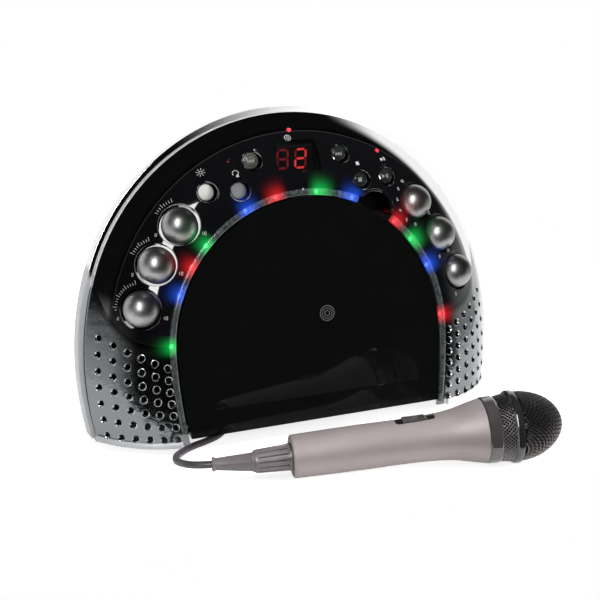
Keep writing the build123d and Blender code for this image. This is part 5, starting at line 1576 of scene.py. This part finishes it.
# ================= microphone =================
class KARAOKE_OT_microphone(bpy.types.Operator):
    """Weave the microphone's mesh head and build its ring, switch and boot"""

    bl_idname = "karaoke.microphone"
    bl_label = "Microphone"

    def execute(self, context):
        self.mesh_head(context.scene.karaoke_sizes)
        gloss = grained("ring_gloss", (0.02, 0.02, 0.022), 0.16, scale=1500, depth=0.01, coat=1.0)
        profile = [(137.1, 20.6), (137.0, 21.9), (137.5, 22.6), (138.4, 22.95), (140.6, 22.95), (141.5, 22.6),
                   (142.0, 21.9), (142.0, 20.6), (137.1, 20.6)]
        self.dress(turned_on_mic("head_ring", profile, gloss, 96), "housing", "mic_ring", "mic_gloss")
        foam = grained("foam_dark", (0.004, 0.004, 0.004), 0.95, scale=500, depth=0.6)
        shell = head_profile()
        profile = [(128.7, 0.0), (128.7, 18.9)] + [(along, radius - 1.3) for along, radius in shell[1:-1]]
        profile.append((shell[-1][0] - 1.3, 0.0))
        self.dress(turned_on_mic("head_foam", profile, foam, 48), "housing", "mic_capsule", "foam_black")
        dark = grained("insert_dark", (0.025, 0.022, 0.025), 0.4, scale=900, depth=0.1)
        profile = [(0.3, 8.75), (-0.15, 8.8), (-0.15, 12.0), (0.1, 12.1), (0.3, 8.75)]
        self.dress(turned_on_mic("tail_insert", profile, dark, 64), "housing", None, "cord_grey")
        self.slider()
        self.liner()
        self.boot()
        return {"FINISHED"}

    def dress(self, piece, body, node, slot):
        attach(piece, body)
        if node:
            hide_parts(node)

    def mesh_head(self, sizes):
        finish = grained("mesh_wire", (0.3, 0.28, 0.275), 0.3, metallic=1.0, scale=2000, depth=0.02)
        pitch, wire = sizes.wire_pitch / MM, sizes.wire_radius / MM
        points, edges = [], []
        weave_barrel(points, edges, pitch, wire)
        weave_dome(points, edges, pitch, wire)
        mesh = bpy.data.meshes.new("mesh_head")
        mesh.from_pydata([point * MM for point in points], edges, [])
        wires = linked("mesh_head", mesh)
        grown(wires, wire_tree(), Radius=sizes.wire_radius, Finish=finish)
        wires.data.polygons.foreach_set("use_smooth", [True] * len(wires.data.polygons))
        self.dress(wires, "housing", "mic_grille", "mic_mesh")

    def slider(self):
        """The switch's slider with its ribbed top."""
        finish = grained("slider_grey", (0.11, 0.1, 0.105), 0.38, scale=1500, depth=0.05)
        skin = Skin()
        end, middle = SLIDER_START + SLIDER_LENGTH, SLIDER_START + SLIDER_LENGTH / 2
        tops = [(SLIDER_START, SLIDER_FOOT), (SLIDER_START, SLIDER_EDGE), (SLIDER_START + 0.5, SLIDER_TOP)]
        for i in range(SLIDER_RIBS):
            at = SLIDER_START + 1.6 + i * (SLIDER_LENGTH - 3.2) / (SLIDER_RIBS - 1)
            tops += [(at - 0.35, SLIDER_TOP), (at, RIB_TOP), (at + 0.35, SLIDER_TOP)]
        tops += [(end - 0.5, SLIDER_TOP), (end, SLIDER_EDGE), (end, SLIDER_FOOT)]
        left, right = ([on_mic(t, up, side) for t, up in tops] for side in (SLIDER_HALF, -SLIDER_HALF))
        for a, b, c, d in zip(left, left[1:], right[1:], right):
            skin.face([a, b, c, d])
        outward_faces(skin, on_mic(middle, SLIDER_FOOT + 0.2))
        for row, side in ((left, 1), (right, -1)):
            centre = on_mic(middle, SLIDER_FOOT, SLIDER_HALF * side)
            for a, b in zip(row, row[1:]):
                skin.face([a, b, centre], [MIC_SIDE * side] * 3)
        self.dress(skin.object("switch_slider", finish), "mic_switch", "mic_switch", "mic_gloss")

    def liner(self):
        """A dark plate in the switch's slot."""
        skin = Skin()
        (start, end), (low, high), half = LINER_ENDS, LINER_LEVELS, LINER_HALF
        foot, top = ([on_mic(t, up, side) for t, side in ((start, half), (end, half), (end, -half), (start, -half))]
                     for up in (low, high))
        skin.face(top)
        skin.face(foot)
        for corners in quads(top, foot):
            skin.face(corners)
        outward_faces(skin, on_mic((start + end) / 2, (low + high) / 2))
        self.dress(skin.object("switch_liner", grained("liner_dark", (0.012, 0.011, 0.011), 0.5)), "housing", None,
                   "mic_gloss")

    def boot(self):
        """A fluted sleeve, a ridge at the bend and a cone with a flared tip."""
        finish = grained("boot_rubber", (0.19, 0.16, 0.17), 0.36, scale=600, depth=0.08, coat=0.25)
        sleeve = [(3.2, 8.5, 0.0), (-1.4, 8.5, 0.0), (-1.9, 8.3, 0.25), (-2.4, 8.2, 1.0), (-20.2, 7.3, 0.95),
                  (-20.8, 7.25, 0.2), (-21.2, 7.2, 0.0), (-22.4, 7.0, 0.0), (-23.0, 6.4, 0.0)]
        start = MIC_TAIL - MIC_AXIS * BOOT_SLEEVE
        bend = (BOOT_TIP - start).normalized()
        cone = [(-1.0, 6.2), (0.3, 6.3), (0.8, 5.9), (1.3, 5.75), (23.4, 3.75), (24.0, 4.3), (24.6, 4.5), (25.4, 4.3),
                (25.5, 2.2)]
        parts = [fluted("boot_sleeve", sleeve, finish),
                 turned("boot_cone", [(-1.0, 0.0)] + cone + [(25.5, 0.0)], start, bend, MIC_TOP, finish, steps=48)]
        self.dress(joined("boot", parts), "housing", "mic_boot", "cord_grey")


def outward_faces(skin, centre):
    """Turns each face's normals away from a centre."""
    for k, face in enumerate(skin.faces):
        middle = sum((skin.points[i] for i in face), Vector()) / len(face)
        if skin.normals[k][0].dot(middle - centre) < 0:
            skin.faces[k] = face[::-1]
            skin.normals[k] = [-normal for normal in skin.normals[k]]


def turned_on_mic(name, profile, finish, steps):
    return turned(name, profile, MIC_TAIL, MIC_AXIS, MIC_SIDE, finish, steps)


def fluted(name, rows, finish, flutes=14, steps=112):
    """A sleeve round the microphone's axis, from (along, radius, groove depth) rows."""
    rings = []
    for along, radius, depth in rows:
        ring = []
        for i in range(steps):
            turn = 2 * math.pi * i / steps
            groove = max(0.0, math.cos(flutes * turn) - FLUTE_FROM) / (1 - FLUTE_FROM)
            ring.append(on_mic(along, *polar(radius - depth * groove, turn)))
        rings.append(ring)
    return lofted(name, rings, finish, closed=True)


def head_profile():
    """The mesh's middle line from the collar over the ball, as (along, radius)."""
    return [(128.8, 19.7), (135.0, 20.7), (BALL_START, BALL_R)] + quarter_round(BALL_START, BALL_END - BALL_START,
                                                                                 BALL_R, 20)


def weave_barrel(points, edges, pitch, wire):
    """Two sets of slanted wires round the short barrel between the collar and the ring."""
    low, high = BARREL_ENDS
    around = 2 * round(math.pi * 20.4 / (pitch * 1.25))
    rows = round((high - low) / (pitch * 0.62))
    for sign in (1, -1):
        for start in range(around):
            line = []
            for k in range(rows + 1):
                along = low + (high - low) * k / rows
                radius = BARREL_FOOT_R + (along - 128.8) * BARREL_FLARE
                lift = wire * CROSSING * (1 if (k + start + (sign > 0)) % 2 else -1)
                line.append(on_mic(along, *polar(radius + lift, 2 * math.pi * (start + sign * k * 0.5) / around)))
            add_line(points, edges, line)


def add_line(points, edges, line):
    """Adds a wire's points, each joined to the one before."""
    edges += [(k, k + 1) for k in range(len(points), len(points) + len(line) - 1)]
    points += line


def weave_dome(points, edges, pitch, wire):
    """A flat square weave pressed over the ball, so that its cells keep their area."""
    profile = head_profile()[2:][::-1]
    table = [(0.0, *profile[0])]
    area = 0.0
    for (t1, r1), (t2, r2) in zip(profile, profile[1:]):
        area += (r1 + r2) * math.hypot(t2 - t1, r2 - r1)
        table.append((math.sqrt(area), t2, r2))
    count = int(table[-1][0] / pitch) + 1
    centre = on_mic(BALL_START)
    for family in (0, 1):
        for across in range(-count, count + 1):
            line = []
            for k in range(-count, count + 1):
                u, v = (across, k) if family else (k, across)
                flat = math.hypot(u, v) * pitch
                if flat > table[-1][0]:
                    continue
                m = next(i for i in range(len(table) - 1) if flat <= table[i + 1][0])
                blend = (flat - table[m][0]) / (table[m + 1][0] - table[m][0])
                along, radius = (table[m][n] + (table[m + 1][n] - table[m][n]) * blend for n in (1, 2))
                place = on_mic(along, *polar(radius, math.atan2(v, u) + 0.4))
                lift = wire * CROSSING * (1 if (u + v + family) % 2 else -1)
                line.append(place + (place - centre).normalized() * lift)
            add_line(points, edges, line)


# ================= finishes of the frame's own pieces =================
def frame_finishes():
    """One finish for each kind of carried-over piece."""
    housing = grained("housing_satin", (0.02, 0.02, 0.022), 0.42, scale=1100, depth=0.25)
    inner = grained("inner_matte", (0.012, 0.012, 0.013), 0.5, scale=900, depth=0.12)
    steel = grained("plain_steel", (0.55, 0.55, 0.56), 0.3, metallic=1.0, scale=1500, depth=0.04)
    dark_steel = grained("dark_steel", (0.2, 0.2, 0.21), 0.36, metallic=1.0, scale=1300, depth=0.05)
    board = grained("board_lacquer", (0.01, 0.09, 0.035), 0.35, scale=600, depth=0.05, coat=0.3)
    rubber = grained("soft_rubber", (0.02, 0.02, 0.02), 0.75, scale=700, depth=0.15)
    brass = grained("socket_brass", (0.7, 0.5, 0.2), 0.2, metallic=1.0, scale=1500, depth=0.03)
    taupe = grained("handle_paint", (0.4, 0.345, 0.345), 0.5, metallic=0.35, scale=2200, depth=0.08, spread=0.04,
                    tint=0.03)
    gloss = grained("collar_gloss", (0.065, 0.06, 0.061), 0.1, scale=1500, depth=0.01, coat=1.0)
    cone = grained("cone_paper", (0.03, 0.03, 0.03), 0.85, scale=600, depth=0.3)
    label = grained("disc_print", (0.12, 0.12, 0.1), 0.35, metallic=0.5, scale=300, depth=0.02)
    lens = grained("lens_blue", (0.1, 0.14, 0.3), 0.05, scale=900, depth=0.01, coat=1.0)
    smoke = grained("door_smoke", (0.0035, 0.004, 0.0035), 0.05, scale=200, depth=0.003, spread=0.02, alpha=0.93)
    return {
        housing: ["rear_housing"],
        inner: ["disc_well", "door_catch", "deck_frame", "laser_sled", "turntable",
                "tact_switches", "speaker_baskets", "mic_jacks", "power_jack"],
        steel: ["board_screws", "pot_bodies", "hinge_pins", "spindle_motor", "sled_rails", "sled_motor", "deck_screws",
                "spindle_shaft", "sled_screw", "cord_plug"],
        dark_steel: ["speaker_magnets", "housing_screws"],
        board: ["control_board", "main_board"],
        rubber: ["deck_dampers", "feet"],
        brass: ["av_jacks"],
        taupe: ["mic_handle"],
        gloss: ["mic_collar"],
        cone: ["speaker_cones"],
        label: ["disc"],
        lens: ["pickup_lens"],
        smoke: ["disc_door"],
    }


class KARAOKE_OT_frame_finishes(bpy.types.Operator):
    """Give every carried-over piece its finish"""

    bl_idname = "karaoke.frame_finishes"
    bl_label = "Frame finishes"

    def execute(self, context):
        for finish, names in frame_finishes().items():
            for name in names:
                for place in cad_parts[name].material_slots:
                    place.material = finish
        return {"FINISHED"}


class KARAOKE_PT_panel(bpy.types.Panel):
    """Lists the pieces that can be built"""

    bl_idname = "KARAOKE_PT_panel"
    bl_label = "Karaoke machine"
    bl_space_type = "VIEW_3D"
    bl_region_type = "UI"
    bl_category = "Karaoke"

    def draw(self, context):
        for name in BUILD_ORDER:
            self.layout.operator("karaoke." + name)
        for group in (context.scene.karaoke_sizes, context.scene.karaoke_colours):
            for name in group.__annotations__:
                self.layout.prop(group, name)


BUILD_ORDER = ("stage", "cord", "fascia", "grille", "light_ring", "knobs", "buttons", "display", "marks",
               "microphone", "frame_finishes")
CLASSES = (KaraokeSizes, KaraokeColours, KARAOKE_OT_stage, KARAOKE_OT_cord, KARAOKE_OT_fascia, KARAOKE_OT_grille,
           KARAOKE_OT_light_ring, KARAOKE_OT_knobs, KARAOKE_OT_buttons, KARAOKE_OT_display, KARAOKE_OT_marks,
           KARAOKE_OT_microphone, KARAOKE_OT_frame_finishes, KARAOKE_PT_panel)


def register():
    for cls in CLASSES:
        bpy.utils.register_class(cls)
    bpy.types.Scene.karaoke_sizes = bpy.props.PointerProperty(type=KaraokeSizes)
    bpy.types.Scene.karaoke_colours = bpy.props.PointerProperty(type=KaraokeColours)


def unregister():
    del bpy.types.Scene.karaoke_colours
    del bpy.types.Scene.karaoke_sizes
    for cls in reversed(CLASSES):
        bpy.utils.unregister_class(cls)


def main():
    register()
    for name in BUILD_ORDER:
        getattr(bpy.ops.karaoke, name)()


if __name__ == "__main__":
    main()
